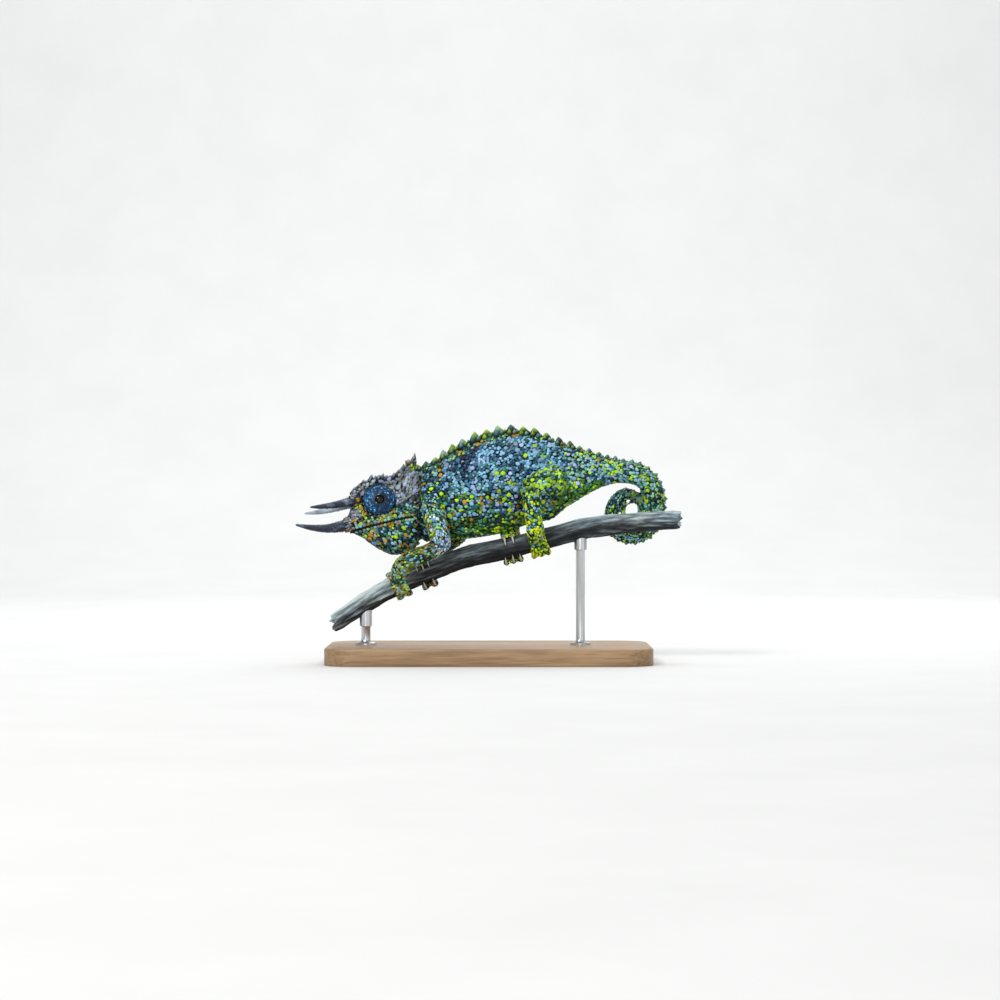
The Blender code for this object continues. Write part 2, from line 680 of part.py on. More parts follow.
def ridge_knobs():
    """Bony knobs along the brow and casque crests, in rows behind the eye and above the nose."""
    knobs = []
    ridge = np.array(CREST_RIDGE)
    for side in (-1, 1):
        for k in range(RIDGE_KNOBS):
            t = 0.3 + k * (len(ridge) - 1.25) / (RIDGE_KNOBS - 1)
            x, y, z, radius = smooth(ridge, t)
            along = unit(smooth(ridge, t + 0.05)[:3] - smooth(ridge, t - 0.05)[:3]) * (1, side, 1)
            out = unit(np.array([-0.25, 0.45 * side, 1.0]))
            up = unit(out - along * (out @ along))
            rise = np.interp(k, (0, 3, 4, RIDGE_KNOBS - 1), (1.0, 1.7, 1.2, 2.2))
            base = np.array([x, y * side, z]) + up * (radius - 0.5)
            height = 0.5 + rise * (1.0 + 0.15 * math.sin(2.1 * k + side))
            knobs.append(spine(base, up, along, height, 1.75, 1.4, 0.1, sink=0.5))
        for x, z in TEMPLE_ROW:
            y = skull_half_width(x, z)
            out = unit(np.array([0.1, side, 0.35]))
            knobs.append(spine(np.array([x, y * side, z]), out, np.array([1.0, 0, 0]), 1.3, 1.5, 1.4, 0.1, sink=0.8))
    return knobs


def prism(name, outline, depth):
    """An outline in X and Z carried across Y."""
    count = len(outline)
    points = [(x, -depth, z) for x, z in outline] + [(x, depth, z) for x, z in outline]
    faces = [tuple(range(count)), tuple(range(count, 2 * count))]
    faces += [(k, (k + 1) % count, count + (k + 1) % count, count + k) for k in range(count)]
    return new_object(name, points, faces)


def block_beside(x, way):
    """A large block with one upright face at x, reaching away from it along X."""
    far = 60.0
    return prism("block", [(x, -40.0), (x, 170.0), (x + way * far, 170.0), (x + way * far, -40.0)], far)


def lathe(name, profile, side, sides, grow=0.0):
    """A solid turned about the eye's own axis, from radius and depth points."""
    rings = []
    for radius, depth in profile:
        ring = []
        for k in range(sides):
            angle = 2 * math.pi * k / sides
            x = EYE[0] + math.cos(angle) * (radius + grow) * EYE_STRETCH[0]
            z = EYE[1] + math.sin(angle) * (radius + grow) * EYE_STRETCH[1]
            ring.append((x, side * depth, z))
        rings.append(ring)
    return tube(name, rings)


def eye_parts(side, label):
    """The turret, hollow round the eyeball with a small round lid opening, and the eyeball."""
    pocket = []
    for angle in (42.0, 65.0, 90.0, 120.0, 150.0):
        turn = math.radians(angle)
        reach = EYEBALL_RADIUS + GAP
        pocket.append((reach * math.sin(turn), EYEBALL_Y + reach * math.cos(turn)))
    turret = lathe("turret_" + label, TURRET + pocket, side, 18)
    ball = []
    for angle in (14.0, 40.0, 70.0, 100.0, 130.0, 160.0):
        turn = math.radians(angle)
        ball.append((EYEBALL_RADIUS * math.sin(turn), EYEBALL_Y + EYEBALL_RADIUS * math.cos(turn)))
    eyeball = lathe("eyeball_" + label, ball, side, 12)
    return finish(turret, "turret"), finish(eyeball, "eye")


def horn(name, grow=0.0):
    """A ringed horn, its root sunk in the head."""
    points = HORNS[name]
    table = [(x, y, z, r, r, r, 2.0) for x, y, z, r in points]
    last = len(table) - 1
    rings = []
    for k, t in enumerate(np.linspace(0, last, HORN_RINGS)):
        rib = 1 + HORN_RIB * (1 if k % 2 else -1) * (0 if k in (0, HORN_RINGS - 1) or grow else 1)
        rings.append(station_ring(table, t, 10, grow + (0.1 if grow else 0.0), rib))
    tangent = frame_at(table, last)[1]
    if grow:
        rings[0] = [p - frame_at(table, 0)[1] * grow for p in rings[0]]
    return tube(name, rings, end_tip=smooth(table, last)[:3] + tangent * points[-1][3])


def make_head(nodes):
    """Skull and casque, lower jaw, turret eyes and three horns, hung on one pivot at the neck."""
    head = skull("head", 22, 22)
    forms = ridge_knobs() + [lip(LIP_OFFSET), lip(-LIP_OFFSET)]
    for side in (1, -1):
        ridge = CREST_RIDGE if side == 1 else mirrored(CREST_RIDGE)
        forms.append(round_path("ridge", ridge, 11, 7))
        inward, lower, radius = ROOF_SHELF
        shelf = [(x, y - inward * side, z - lower, radius) for x, y, z, _ in ridge[1:6]]
        forms.append(round_path("shelf", shelf, 4, 6))
    boolean(head, forms, "UNION")
    cutters = [horn(name, GAP) for name in HORNS]
    for side in (-1, 1):
        socket = [(8.2, POCKET_FLOOR), (8.2, 18.0)]
        cutters.append(lathe("socket", socket, side, 18, GAP + 0.1))
        x, y, z = NOSTRIL
        hole = (x, y * side, z, NOSTRIL_RADIUS), (x - 1.2, (y + 1.6) * side, z + 0.3, NOSTRIL_RADIUS)
        cutters.append(round_path("nostril", hole, 2, 6))
    boolean(head, cutters, "DIFFERENCE")
    jaw = head.copy()
    jaw.data = head.data.copy()
    jaw.name = "jaw"
    bpy.context.scene.collection.objects.link(jaw)
    far = 60.0
    below = [(x, z + GAP / 2) for x, z in MOUTH_LINE] + [(far, -far), (-far, -far)]
    above = [(x, z - GAP / 2) for x, z in MOUTH_LINE] + [(far, far), (-far, far)]
    boolean(head, [prism("below", below, far)], "DIFFERENCE")
    boolean(jaw, [prism("above", above, far)], "DIFFERENCE")
    parts = {"head": finish(head, "skin_green"), "jaw": finish(jaw, "skin_green")}
    for side, label in ((-1, "left"), (1, "right")):
        turret, eyeball = eye_parts(side, label)
        parts[turret.name], parts[eyeball.name] = turret, eyeball
    for name in HORNS:
        parts[name] = finish(horn(name), "horn")
    turn = Euler((math.radians(HEAD_ROLL), 0.0, math.radians(HEAD_YAW)), "XYZ").to_matrix().to_4x4()
    neck = Vector((SNOUT[0] + HEAD_PIVOT[0], 0.0, SNOUT[1] + HEAD_PIVOT[2]))
    place = Matrix.Translation(neck * MM) @ turn @ Matrix.Translation(-Vector(HEAD_PIVOT) * MM)
    for part in parts.values():
        part.data.transform(place)
    for name in ("head", "jaw"):
        behind = [block_beside(NECK_X - GAP / 2, 1)]
        for arm in ("upper_arm_left", "upper_arm_right"):
            behind.append(upper_limb("clear", UPPER_LIMBS[arm], GAP))
        boolean(parts[name], behind, "DIFFERENCE")
        finish(parts[name], "skin_green")
    nodes.update(parts)


def make_stand(nodes):
    """The branch on two rods over a flat wooden base."""
    nodes["branch"] = finish(branch_solid("branch", 25, 12), "bark")
    half_x, half_y = BASE_LENGTH / 2 - BASE_CORNER, BASE_WIDTH / 2 - BASE_CORNER
    outline = []
    for k in range(28):
        angle = 2 * math.pi * (k + 0.5) / 28
        c, s = math.cos(angle), math.sin(angle)
        outline.append((math.copysign(half_x, c) + BASE_CORNER * c, math.copysign(half_y, s) + BASE_CORNER * s))
    bevel = 1.4
    levels = ((0.0, 0.4), (0.4, 0.0), (BASE_THICK - bevel, 0.0), (BASE_THICK - 0.4, 0.45), (BASE_THICK, bevel))
    rings = []
    for z, inset in levels:
        shrink = (1 - inset / (BASE_LENGTH / 2), 1 - inset / (BASE_WIDTH / 2))
        rings.append([np.array((x * shrink[0], y * shrink[1], z)) for x, y in outline])
    nodes["stand_base"] = finish(tube("stand_base", rings), "stand_wood", 30.0)
    for name, x in ROD_X.items():
        middle = branch_at(x)[0]
        levels = (BASE_THICK + GAP, middle[2])
        made = []
        for z in levels:
            ring = []
            for k in range(16):
                angle = 2 * math.pi * k / 16
                ring.append((x + ROD_RADIUS * math.cos(angle), ROD_RADIUS * math.sin(angle), z))
            made.append(ring)
        rod = tube(name, made)
        boolean(rod, [branch_solid("clear", 60, 20, GAP)], "DIFFERENCE")
        nodes[name] = finish(rod, "stand_steel")


def centre(nodes):
    """Puts the middle of the whole object's outline over the origin."""
    corners = np.array([v.co for obj in nodes.values() for v in obj.data.vertices])
    middle = (corners.min(axis=0) + corners.max(axis=0)) / 2
    for obj in nodes.values():
        obj.data.transform(Matrix.Translation((-middle[0], -middle[1], 0.0)))
    print("moved by", -middle[:2] / MM)


def main():
    for obj in list(bpy.data.objects):
        bpy.data.objects.remove(obj)
    axis, nodes = make_axis()
    make_limbs(axis, nodes)
    make_head(nodes)
    make_stand(nodes)
    centre(nodes)
    for name, obj in nodes.items():
        print(name, sum(len(p.vertices) - 2 for p in obj.data.polygons))


main()
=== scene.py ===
import math

import bmesh
import bpy
import numpy as np
from mathutils import Euler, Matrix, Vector
from mathutils.bvhtree import BVHTree


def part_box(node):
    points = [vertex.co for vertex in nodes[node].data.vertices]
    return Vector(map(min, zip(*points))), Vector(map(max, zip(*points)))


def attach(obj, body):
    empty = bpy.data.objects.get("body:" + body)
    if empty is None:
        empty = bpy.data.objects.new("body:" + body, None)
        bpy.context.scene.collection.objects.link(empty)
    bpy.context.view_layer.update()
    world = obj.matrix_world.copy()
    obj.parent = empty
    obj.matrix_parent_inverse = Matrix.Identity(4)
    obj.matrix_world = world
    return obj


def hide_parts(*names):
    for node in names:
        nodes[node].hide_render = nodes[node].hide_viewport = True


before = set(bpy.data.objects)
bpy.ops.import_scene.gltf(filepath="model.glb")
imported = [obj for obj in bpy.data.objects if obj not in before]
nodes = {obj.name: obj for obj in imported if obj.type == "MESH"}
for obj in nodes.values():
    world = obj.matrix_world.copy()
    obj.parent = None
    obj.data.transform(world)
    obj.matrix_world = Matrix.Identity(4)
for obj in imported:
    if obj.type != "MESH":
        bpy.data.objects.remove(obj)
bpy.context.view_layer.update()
mm = 0.001

# the solids were centred over the stand, so every x in the tables moves with the base's middle
shiftX = sum(corner.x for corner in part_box("stand_base")) / 2 / mm
shift = np.array([shiftX, 0.0, 0.0])
sideAxis = np.array([0.0, 1.0, 0.0])

# lines of the body in millimetres: x, y, z of the middle, reach up, down and sideways, power of the back
bodyLine = [
    (-44.0, 0.0, 81.4, 18.6, 18.8, 9.0, 1.7), (-36.0, 0.0, 82.6, 19.0, 20.6, 9.4, 1.7),
    (-30.0, 0.0, 84.0, 18.1, 22.4, 10.4, 1.65), (-21.8, 0.0, 86.0, 19.8, 23.8, 11.6, 1.6),
    (-12.5, 0.0, 88.2, 23.4, 24.8, 12.6, 1.55), (-2.1, 0.0, 90.6, 25.8, 25.5, 13.0, 1.5),
    (9.4, 0.0, 92.7, 27.1, 24.4, 12.8, 1.5), (20.3, 0.0, 94.5, 25.8, 22.9, 11.8, 1.5),
    (29.6, 0.0, 96.0, 22.2, 22.5, 10.0, 1.55), (38.0, 0.0, 97.2, 17.8, 17.6, 8.3, 1.6),
    (47.3, 0.2, 98.2, 12.9, 13.2, 6.9, 1.7), (57.7, 0.9, 98.9, 8.6, 8.6, 5.9, 1.8),
    (67.1, 2.6, 98.8, 6.3, 6.2, 5.4, 1.9),
]
coilMiddle = (75.2, 79.0)
coilTurns = [  # turn in degrees, distance from the coil's middle, radius, distance behind the branch's line
    (-93.0, 19.2, 5.9, 4.6), (-73.0, 17.6, 5.8, 6.8), (-51.0, 15.2, 5.7, 9.0), (-28.0, 13.1, 5.55, 10.7),
    (0.0, 11.7, 5.4, 11.5), (32.0, 11.7, 5.3, 11.4), (62.0, 12.4, 5.1, 11.1), (92.0, 13.2, 4.85, 10.8),
    (120.0, 13.5, 4.6, 10.5), (148.0, 12.6, 4.3, 10.3), (180.0, 10.9, 4.05, 10.2),
]
snout = (-73.8, 70.1)
headTurn = {"pivot": (38.4, 0.0, 13.3), "yaw": 7.0, "roll": -5.0}
neckPlane = -35.6
mouthLine = [(-4.0, -2.9), (1.4, -2.4), (5.0, -1.6), (15.1, 0.8), (24.1, 2.9), (30.0, 4.1), (37.2, 4.7),
             (50.0, 4.8)]
branchLine = [  # x, z and radius of the branch
    (-80.6, 19.9, 4.7), (-69.2, 27.7, 5.0), (-56.7, 35.5, 5.1), (-44.2, 41.9, 5.3), (-31.7, 47.2, 5.4),
    (-12.5, 54.3, 5.5), (10.9, 59.5, 5.3), (33.8, 65.2, 5.3), (52.5, 69.9, 5.3), (78.5, 72.7, 5.1),
    (99.2, 74.0, 4.9),
]
eyePlace = {"x": 16.1, "z": 13.5, "long": 1.04, "tall": 0.97}
grips = {"hand_left": (-46.6, 1.7), "hand_right": (-33.2, 2.05), "foot_left": (25.4, 2.05),
         "foot_right": (11.2, 2.05)}
toes = {  # how many, first and last degree round the branch, spread along it, share of the foot's thickness
    "hand": ((3, 70.0, -34.0, 3.0, 0.75), (2, 62.0, 186.0, 2.4, 1.0)),
    "foot": ((2, 70.0, -36.0, 2.1, 0.62), (3, 62.0, 184.0, 3.7, 1.0)),
}
armNodes = ["upper_arm_left", "upper_arm_right", "forearm_left", "forearm_right"]
legNodes = ["thigh_left", "thigh_right", "shin_left", "shin_right"]
footNodes = list(grips)
coilNodes = ["tail_coil", "tail_inner_coil", "tail_tip"]
fleshNodes = ["head", "jaw", "neck", "torso", "tail_base", "tail_bend", "tail_under_branch"] + coilNodes
fleshNodes += armNodes + legNodes + footNodes


# small tools

def unit(vector):
    return vector / np.linalg.norm(vector)


def rowAt(table, t):  # smooth curve through the rows of a table
    rows = np.asarray(table, float)
    last = len(rows) - 1
    i = min(max(int(math.floor(t)), 0), last - 1)
    f = t - i
    a, b = rows[i], rows[i + 1]
    before = rows[i - 1] if i > 0 else 2 * a - b
    after = rows[i + 2] if i + 2 <= last else 2 * b - a
    return 0.5 * (2 * a + (b - before) * f + (2 * before - 5 * a + 4 * b - after) * f**2
                  + (3 * a - before - 3 * b + after) * f**3)


def frameAt(table, t):  # middle, tangent, up and side
    last = len(table) - 1
    tangent = unit(rowAt(table, min(t + 0.02, last))[:3] - rowAt(table, max(t - 0.02, 0))[:3])
    side = unit(sideAxis - tangent * (sideAxis @ tangent))
    return rowAt(table, t)[:3], tangent, np.cross(tangent, side), side


def waves(points, size, seed):  # smooth random field, mostly from -1 to 1
    rng = np.random.default_rng(seed)
    count = 7
    directions = rng.normal(size=(count, 3))
    directions /= np.linalg.norm(directions, axis=1)[:, None]
    steps = rng.uniform(0.7, 1.5, count)[:, None] * directions * 2 * math.pi / size
    return np.sin(points @ steps.T + rng.uniform(0, 6.28, count)).sum(axis=1) / math.sqrt(count) * 0.75


def bell(distance, width):
    return np.exp(-(np.asarray(distance) / width) ** 2)


def fullTurn(count):  # evenly spaced angles round a circle
    return np.linspace(0, 2 * math.pi, count, endpoint=False)


def lengthsAlong(points):  # distance travelled at each point of a line
    return np.concatenate([[0], np.cumsum(np.linalg.norm(np.diff(points, axis=0), axis=1))])


def nearestIn(points, targets):  # for each point: the nearest target and how far it is
    found = []
    for block in np.array_split(points, 1 + len(points) // 4000):  # blocks spare memory
        squares = ((block[:, None] - targets[None]) ** 2).sum(axis=2)
        found.append((squares.argmin(axis=1), np.sqrt(squares.min(axis=1))))
    return [np.concatenate(part) for part in zip(*found)]


def headFrame():
    turn = Euler((math.radians(headTurn["roll"]), 0, math.radians(headTurn["yaw"])), "XYZ").to_matrix()
    pivot = headTurn["pivot"]
    neck = np.array([snout[0] + pivot[0] + shiftX, 0.0, snout[1] + pivot[2]])
    return np.array(turn), neck, np.array(pivot)


headSpin, neckPoint, headPivot = headFrame()


def fromHead(points):
    return (np.asarray(points, float) - headPivot) @ headSpin.T + neckPoint


def toHead(points):
    return (np.asarray(points, float) - neckPoint) @ headSpin + headPivot


branchTable = np.array([rowAt(branchLine, t) for t in np.linspace(0, len(branchLine) - 1, 132)])


def branchAt(x):  # middle, tangent, upward normal and radius of the branch at an x
    low, middle, high = np.interp([x - 1, x, x + 1], branchTable[:, 0], branchTable[:, 1])
    tangent = unit(np.array([2.0, 0.0, high - low]))
    radius = float(np.interp(x, *np.array(branchLine)[:, [0, 2]].T))
    return np.array([x + shiftX, 0.0, middle]), tangent, np.array([-tangent[2], 0.0, tangent[0]]), radius


def meshObject(name, points, faces):  # points in millimetres
    mesh = bpy.data.meshes.new(name)
    corners = [list(map(int, face)) for face in faces]
    mesh.from_pydata((np.asarray(points, float) * mm).tolist(), [], corners)
    mesh.update()
    mesh.shade_smooth()
    obj = bpy.data.objects.new(name, mesh)
    bpy.context.scene.collection.objects.link(obj)
    return obj


def ringFaces(rings, sides, first=0):
    faces = []
    for i in range(rings - 1):
        a, b = first + i * sides, first + (i + 1) * sides
        faces += [(a + k, a + (k + 1) % sides, b + (k + 1) % sides, b + k) for k in range(sides)]
    return faces


def outward(obj):
    shape = bmesh.new()
    shape.from_mesh(obj.data)
    bmesh.ops.recalc_face_normals(shape, faces=shape.faces)
    shape.to_mesh(obj.data)
    shape.free()
    return obj


# closed surface through rings, its ends flat or drawn to a point
def loft(name, rings, startTip=None, endTip=None):
    sides = len(rings[0])
    points = [p for ring in rings for p in ring]
    faces = ringFaces(len(rings), sides)
    for tip, first in ((startTip, 0), (endTip, (len(rings) - 1) * sides)):
        if tip is None:
            faces.append(tuple(range(first, first + sides)))
            continue
        points.append(tip)
        faces += [(first + k, first + (k + 1) % sides, len(points) - 1) for k in range(sides)]
    return outward(meshObject(name, points, faces))


def baked(obj):  # the evaluated object as a plain mesh
    bpy.context.view_layer.update()
    made = bpy.data.meshes.new_from_object(obj.evaluated_get(bpy.context.evaluated_depsgraph_get()))
    obj.modifiers.clear()
    obj.data = made


def joined(name, parts):  # several plain meshes as one piece
    shape = bmesh.new()
    for part in parts:
        shape.from_mesh(part.data)
    mesh = bpy.data.meshes.new(name)
    shape.to_mesh(mesh)
    shape.free()
    mesh.shade_smooth()
    for part in parts:
        bpy.data.objects.remove(part)
    obj = bpy.data.objects.new(name, mesh)
    bpy.context.scene.collection.objects.link(obj)
    return obj


def pointsOf(mesh):
    flat = np.empty(len(mesh.vertices) * 3)
    mesh.vertices.foreach_get("co", flat)
    return flat.reshape(-1, 3) / mm


def finished(obj, material, slot, *replaced):
    obj.data.materials.clear()
    obj.data.materials.append(material)
    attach(obj, "root")
    if replaced:
        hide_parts(*replaced)


def storeColour(mesh, colours):
    values = np.column_stack([colours, np.ones(len(colours))])
    layer = mesh.attributes.new("hideColour", "FLOAT_COLOR", "POINT")
    layer.data.foreach_set("color", values.astype(np.float32).ravel())


def storeFloat(mesh, values, name):
    mesh.attributes.new(name, "FLOAT", "POINT").data.foreach_set("value", np.asarray(values, np.float32))


def storeVector(mesh, values, name):
    layer = mesh.attributes.new(name, "FLOAT_VECTOR", "POINT")
    layer.data.foreach_set("vector", np.asarray(values, np.float32).ravel())


# materials

def newMaterial(name, roughness, **sockets):
    material = bpy.data.materials.new(name)
    material.use_nodes = True
    shader = material.node_tree.nodes["Principled BSDF"]
    shader.inputs["Roughness"].default_value = roughness
    for socket, value in sockets.items():
        shader.inputs[socket.replace("_", " ")].default_value = value
    return material, material.node_tree, shader


def addNode(tree, kind, inputs=None, **settings):
    node = tree.nodes.new(kind)
    for key, value in settings.items():
        setattr(node, key, value)
    for key, value in (inputs or {}).items():
        if isinstance(value, bpy.types.NodeSocket):
            tree.links.new(value, node.inputs[key])
        else:
            node.inputs[key].default_value = value
    return node


def outputOf(tree, kind, inputs=None, **settings):
    return addNode(tree, kind, inputs, **settings).outputs[0]


def maths(tree, operation, *values):
    return outputOf(tree, "ShaderNodeMath", dict(enumerate(values)), operation=operation)


def stored(tree, name, output="Fac"):  # a value that the mesh carries
    return addNode(tree, "ShaderNodeAttribute", attribute_name=name).outputs[output]


def addBump(tree, shader, height, strength, distance):
    bump = addNode(tree, "ShaderNodeBump", {"Height": height, "Strength": strength, "Distance": distance})
    tree.links.new(bump.outputs["Normal"], shader.inputs["Normal"])


def objectNoise(tree, scale, detail=3.0, stretch=(1, 1, 1), vector=None):
    vector = vector or addNode(tree, "ShaderNodeTexCoord").outputs["Object"]
    place = addNode(tree, "ShaderNodeMapping", {"Vector": vector, "Scale": stretch})
    inputs = {"Vector": place.outputs[0], "Scale": scale, "Detail": detail, "Roughness": 0.6}
    return addNode(tree, "ShaderNodeTexNoise", inputs).outputs["Fac"]


def ramp(tree, factor, *stops):
    node = addNode(tree, "ShaderNodeValToRGB", {"Fac": factor})
    marks = node.color_ramp.elements
    for index, (position, colour) in enumerate((stops[0], stops[-1])):
        marks[index].position = position
        marks[index].color = (*colour, 1)
    for position, colour in stops[1:-1]:
        marks.new(position).color = (*colour, 1)
    return node.outputs["Color"]


def setColour(tree, shader, colour, *tints):  # base colour times each tint
    for tint in tints:
        colour = addNode(tree, "ShaderNodeMix", {0: 1.0, 6: colour, 7: tint}, data_type="RGBA",
                         blend_type="MULTIPLY").outputs[2]
    tree.links.new(colour, shader.inputs["Base Color"])


scaleFinish = {"roughness": 0.46, "specular": 0.3, "grain": 1500.0, "grainStrength": 0.3, "rootShade": 0.16}


def scaleMaterial(name, roughness):  # colour of each scale from its attribute, darker at its root
    material, tree, shader = newMaterial(name, roughness, Specular_IOR_Level=scaleFinish["specular"])
    grain = scaleFinish["grain"]
    tint = ramp(tree, objectNoise(tree, grain, 2.0), (0.3, (0.78, 0.80, 0.82)), (0.7, (1.16, 1.14, 1.1)))
    rootShade = (scaleFinish["rootShade"],) * 3
    shade = ramp(tree, stored(tree, "rise"), (0.12, rootShade), (0.55, (1.0, 1.0, 1.0)))
    setColour(tree, shader, stored(tree, "hideColour", "Color"), tint, shade)
    addBump(tree, shader, objectNoise(tree, grain * 1.6, 2.0), scaleFinish["grainStrength"], 0.00015)
    return material


# skin: one closed surface over all the flesh, just inside the scales

coilRows = [(coilMiddle[0] + reach * math.cos(math.radians(turn)), behind,
             coilMiddle[1] - reach * math.sin(math.radians(turn)), radius, radius, radius * 0.92, 2.0)
            for turn, reach, radius, behind in coilTurns]
axisRows = np.array(bodyLine + coilRows)
axisStations = np.linspace(0, len(axisRows) - 1, 360)
axisFrames = np.array([np.array(frameAt(axisRows, t)) for t in axisStations])
axisReach = np.array([rowAt(axisRows, t)[3:7] for t in axisStations])


def axisPlaces(points):  # for each point: nearest station of trunk and tail, height and side in its section
    middles = axisFrames[:, 0] + shift
    near, _ = nearestIn(points, middles)
    offset = points - middles[near]
    return near, (offset * axisFrames[near, 2]).sum(axis=1), (offset * axisFrames[near, 3]).sum(axis=1)


def labelled(labels, *names):
    return np.isin(labels, [fleshNodes.index(name) for name in names])


def fleshCopy():
    shape = bmesh.new()
    owners = []
    for index, name in enumerate(fleshNodes):
        shape.from_mesh(nodes[name].data)
        owners += [index] * (len(shape.faces) - len(owners))
    shape.verts.index_update()
    points = [v.co.copy() for v in shape.verts]
    faces = [[v.index for v in face.verts] for face in shape.faces]
    bmesh.ops.remove_doubles(shape, verts=shape.verts, dist=1e-7)
    mesh = bpy.data.meshes.new("skin")
    shape.to_mesh(mesh)
    shape.free()
    return mesh, BVHTree.FromPolygons(points, faces), owners


def smoothed(points, edges, rounds, weights):  # takes the facets out without shrinking the form
    counts = np.bincount(edges.ravel(), minlength=len(points))[:, None]
    for step in range(rounds * 2):
        total = np.column_stack([np.bincount(edges[:, 0], points[edges[:, 1], k], len(points))
                                 + np.bincount(edges[:, 1], points[edges[:, 0], k], len(points))
                                 for k in range(3)])
        amount = 0.55 if step % 2 == 0 else -0.57
        points = points + (total / counts - points) * amount * weights[:, None]
    return points


def labelPoints(points):
    return np.array([fleshOwners[fleshTree.find_nearest(Vector(p * mm))[2]] for p in points])


clawLook = {"start": -2.0, "sweep": 48.0, "radius": 0.92, "clear": 0.55, "arch": 0.25, "rings": 14,
            "sides": 12}


def clawPaths():  # for each claw: middles, radii, outward directions and the branch's tangent
    paths = []
    for foot, (gripX, thick) in grips.items():
        side = -1 if foot.endswith("left") else 1
        for count, first, last, spread, share in toes[foot.split("_")[0]]:
            way = math.copysign(1.0, last - first)
            for k in range(count):
                place = 2 * k / (count - 1) - 1
                end = first + (last - first) * (1 - 0.05 * abs(place))
                middle, tangent, up, radius = branchAt(gripX + place * spread)
                s = np.linspace(0, 1, clawLook["rings"])
                sizes = clawLook["radius"] * (1 - 0.88 * s**1.5)
                lifts = thick * share * 0.85 * (1 - s) + sizes * s + clawLook["arch"] * np.sin(math.pi * s)
                angles = np.radians(end + way * (clawLook["start"] + clawLook["sweep"] * s))
                outs = np.outer(np.cos(angles), up) + np.outer(np.sin(angles), sideAxis * side)
                middles = middle + outs * (radius + clawLook["clear"] + lifts)[:, None]
                paths.append((middles, sizes, outs, tangent))
    return paths


clawLines = clawPaths()
skinShape = {"voxel": 0.62, "smoothing": 16, "depth": 0.55, "faceDepth": 0.42, "footDepth": 0.32,
             "neckFold": 1.1, "throatFold": 0.28, "throatPleat": 2.9, "wrinkle": 0.3, "wrinkleStep": 3.2,
             "ribs": 0.18, "ribStep": 7.0, "limbFold": 0.14}


def foldDepth(points, labels):  # extra depth where the hide folds
    local = toHead(points)
    x, z = points[:, 0] - shiftX, points[:, 2]
    headside = labelled(labels, "head", "jaw", "neck")
    depth = skinShape["neckFold"] * bell(x - neckPlane + 0.03 * (z - 80), 1.3) * headside
    rows = local[:, 2] * 0.86 + local[:, 0] * 0.5
    pleats = np.clip(np.sin(rows * 2 * math.pi / skinShape["throatPleat"]), 0, 1)
    depth += skinShape["throatFold"] * pleats * labelled(labels, "jaw")
    flank = labelled(labels, "torso")
    besideLimbs = bell(x + 14, 7) + bell(x - 33, 6)
    creases = np.sin((x + 0.35 * z) * 2 * math.pi / skinShape["wrinkleStep"])
    creases = creases * besideLimbs * bell(z - 76, 12)
    depth += skinShape["wrinkle"] * (0.5 + 0.5 * creases) * flank
    ribs = np.sin((x - 0.28 * z) * 2 * math.pi / skinShape["ribStep"]) * bell(z - 92, 14)
    depth += skinShape["ribs"] * (0.5 + 0.5 * ribs) * flank
    limbs = labelled(labels, *armNodes, *legNodes)
    return depth + skinShape["limbFold"] * (0.5 + 0.5 * waves(points, 3.4, 21)) * limbs


def drawnIntoClaws(points, isFoot):  # the skin under a claw goes inside it
    axis = np.concatenate([middles[2:] for middles, _, _, _ in clawLines])
    near, away = nearestIn(points[isFoot], axis)
    pull = np.clip(1.5 - away / 1.1, 0, 1)[:, None] * 0.6
    points[isFoot] += (axis[near] - points[isFoot]) * pull
    return points


def backClamped(points, labels):  # the solids' crest is taken off, to be made anew
    near, height, aside = axisPlaces(points)
    reach = axisReach[near]
    share = np.clip(np.abs(aside) / reach[:, 2], 0, 1)
    back = reach[:, 0] * (1 - share ** reach[:, 3]) ** (1 / reach[:, 3]) - 0.1
    spined = labelled(labels, "neck", "torso", "tail_base", "tail_bend", "tail_under_branch", "tail_coil")
    spined &= (height > back) & (np.abs(aside) < 3.2) & (near < len(axisStations) - 4)
    return points - axisFrames[near, 2] * np.where(spined, height - back, 0)[:, None]


def makeSkin():
    skin = bpy.data.objects.new("skin", fleshMesh)
    bpy.context.scene.collection.objects.link(skin)
    remesh = skin.modifiers.new("remesh", "REMESH")
    remesh.mode = "VOXEL"
    remesh.voxel_size = skinShape["voxel"] * 1.0 * mm
    baked(skin)
    points = pointsOf(skin.data)
    edges = np.empty(len(skin.data.edges) * 2, np.int32)
    skin.data.edges.foreach_get("vertices", edges)
    labels = labelPoints(points)
    isFoot = labelled(labels, *footNodes)
    isHead = labelled(labels, "head", "jaw")
    points = backClamped(points, labels)
    weights = np.where(isFoot, 0.35, np.where(isHead, 0.7, 1))
    points = smoothed(points, edges.reshape(-1, 2), skinShape["smoothing"], weights)
    skin.data.vertices.foreach_set("co", (points * mm).ravel())
    skin.data.update()
    normals = np.empty(len(points) * 3)
    skin.data.vertices.foreach_get("normal", normals)
    normals = normals.reshape(-1, 3)
    depth = np.where(isHead, skinShape["faceDepth"], skinShape["depth"])
    depth = np.where(isFoot, skinShape["footDepth"], depth)
    points -= normals * (depth + foldDepth(points, labels))[:, None]
    points = drawnIntoClaws(points, isFoot)
    skin.data.vertices.foreach_set("co", (points * mm).ravel())
    skin.data.update()
    skin.data.shade_smooth()
    return skin, points, labels


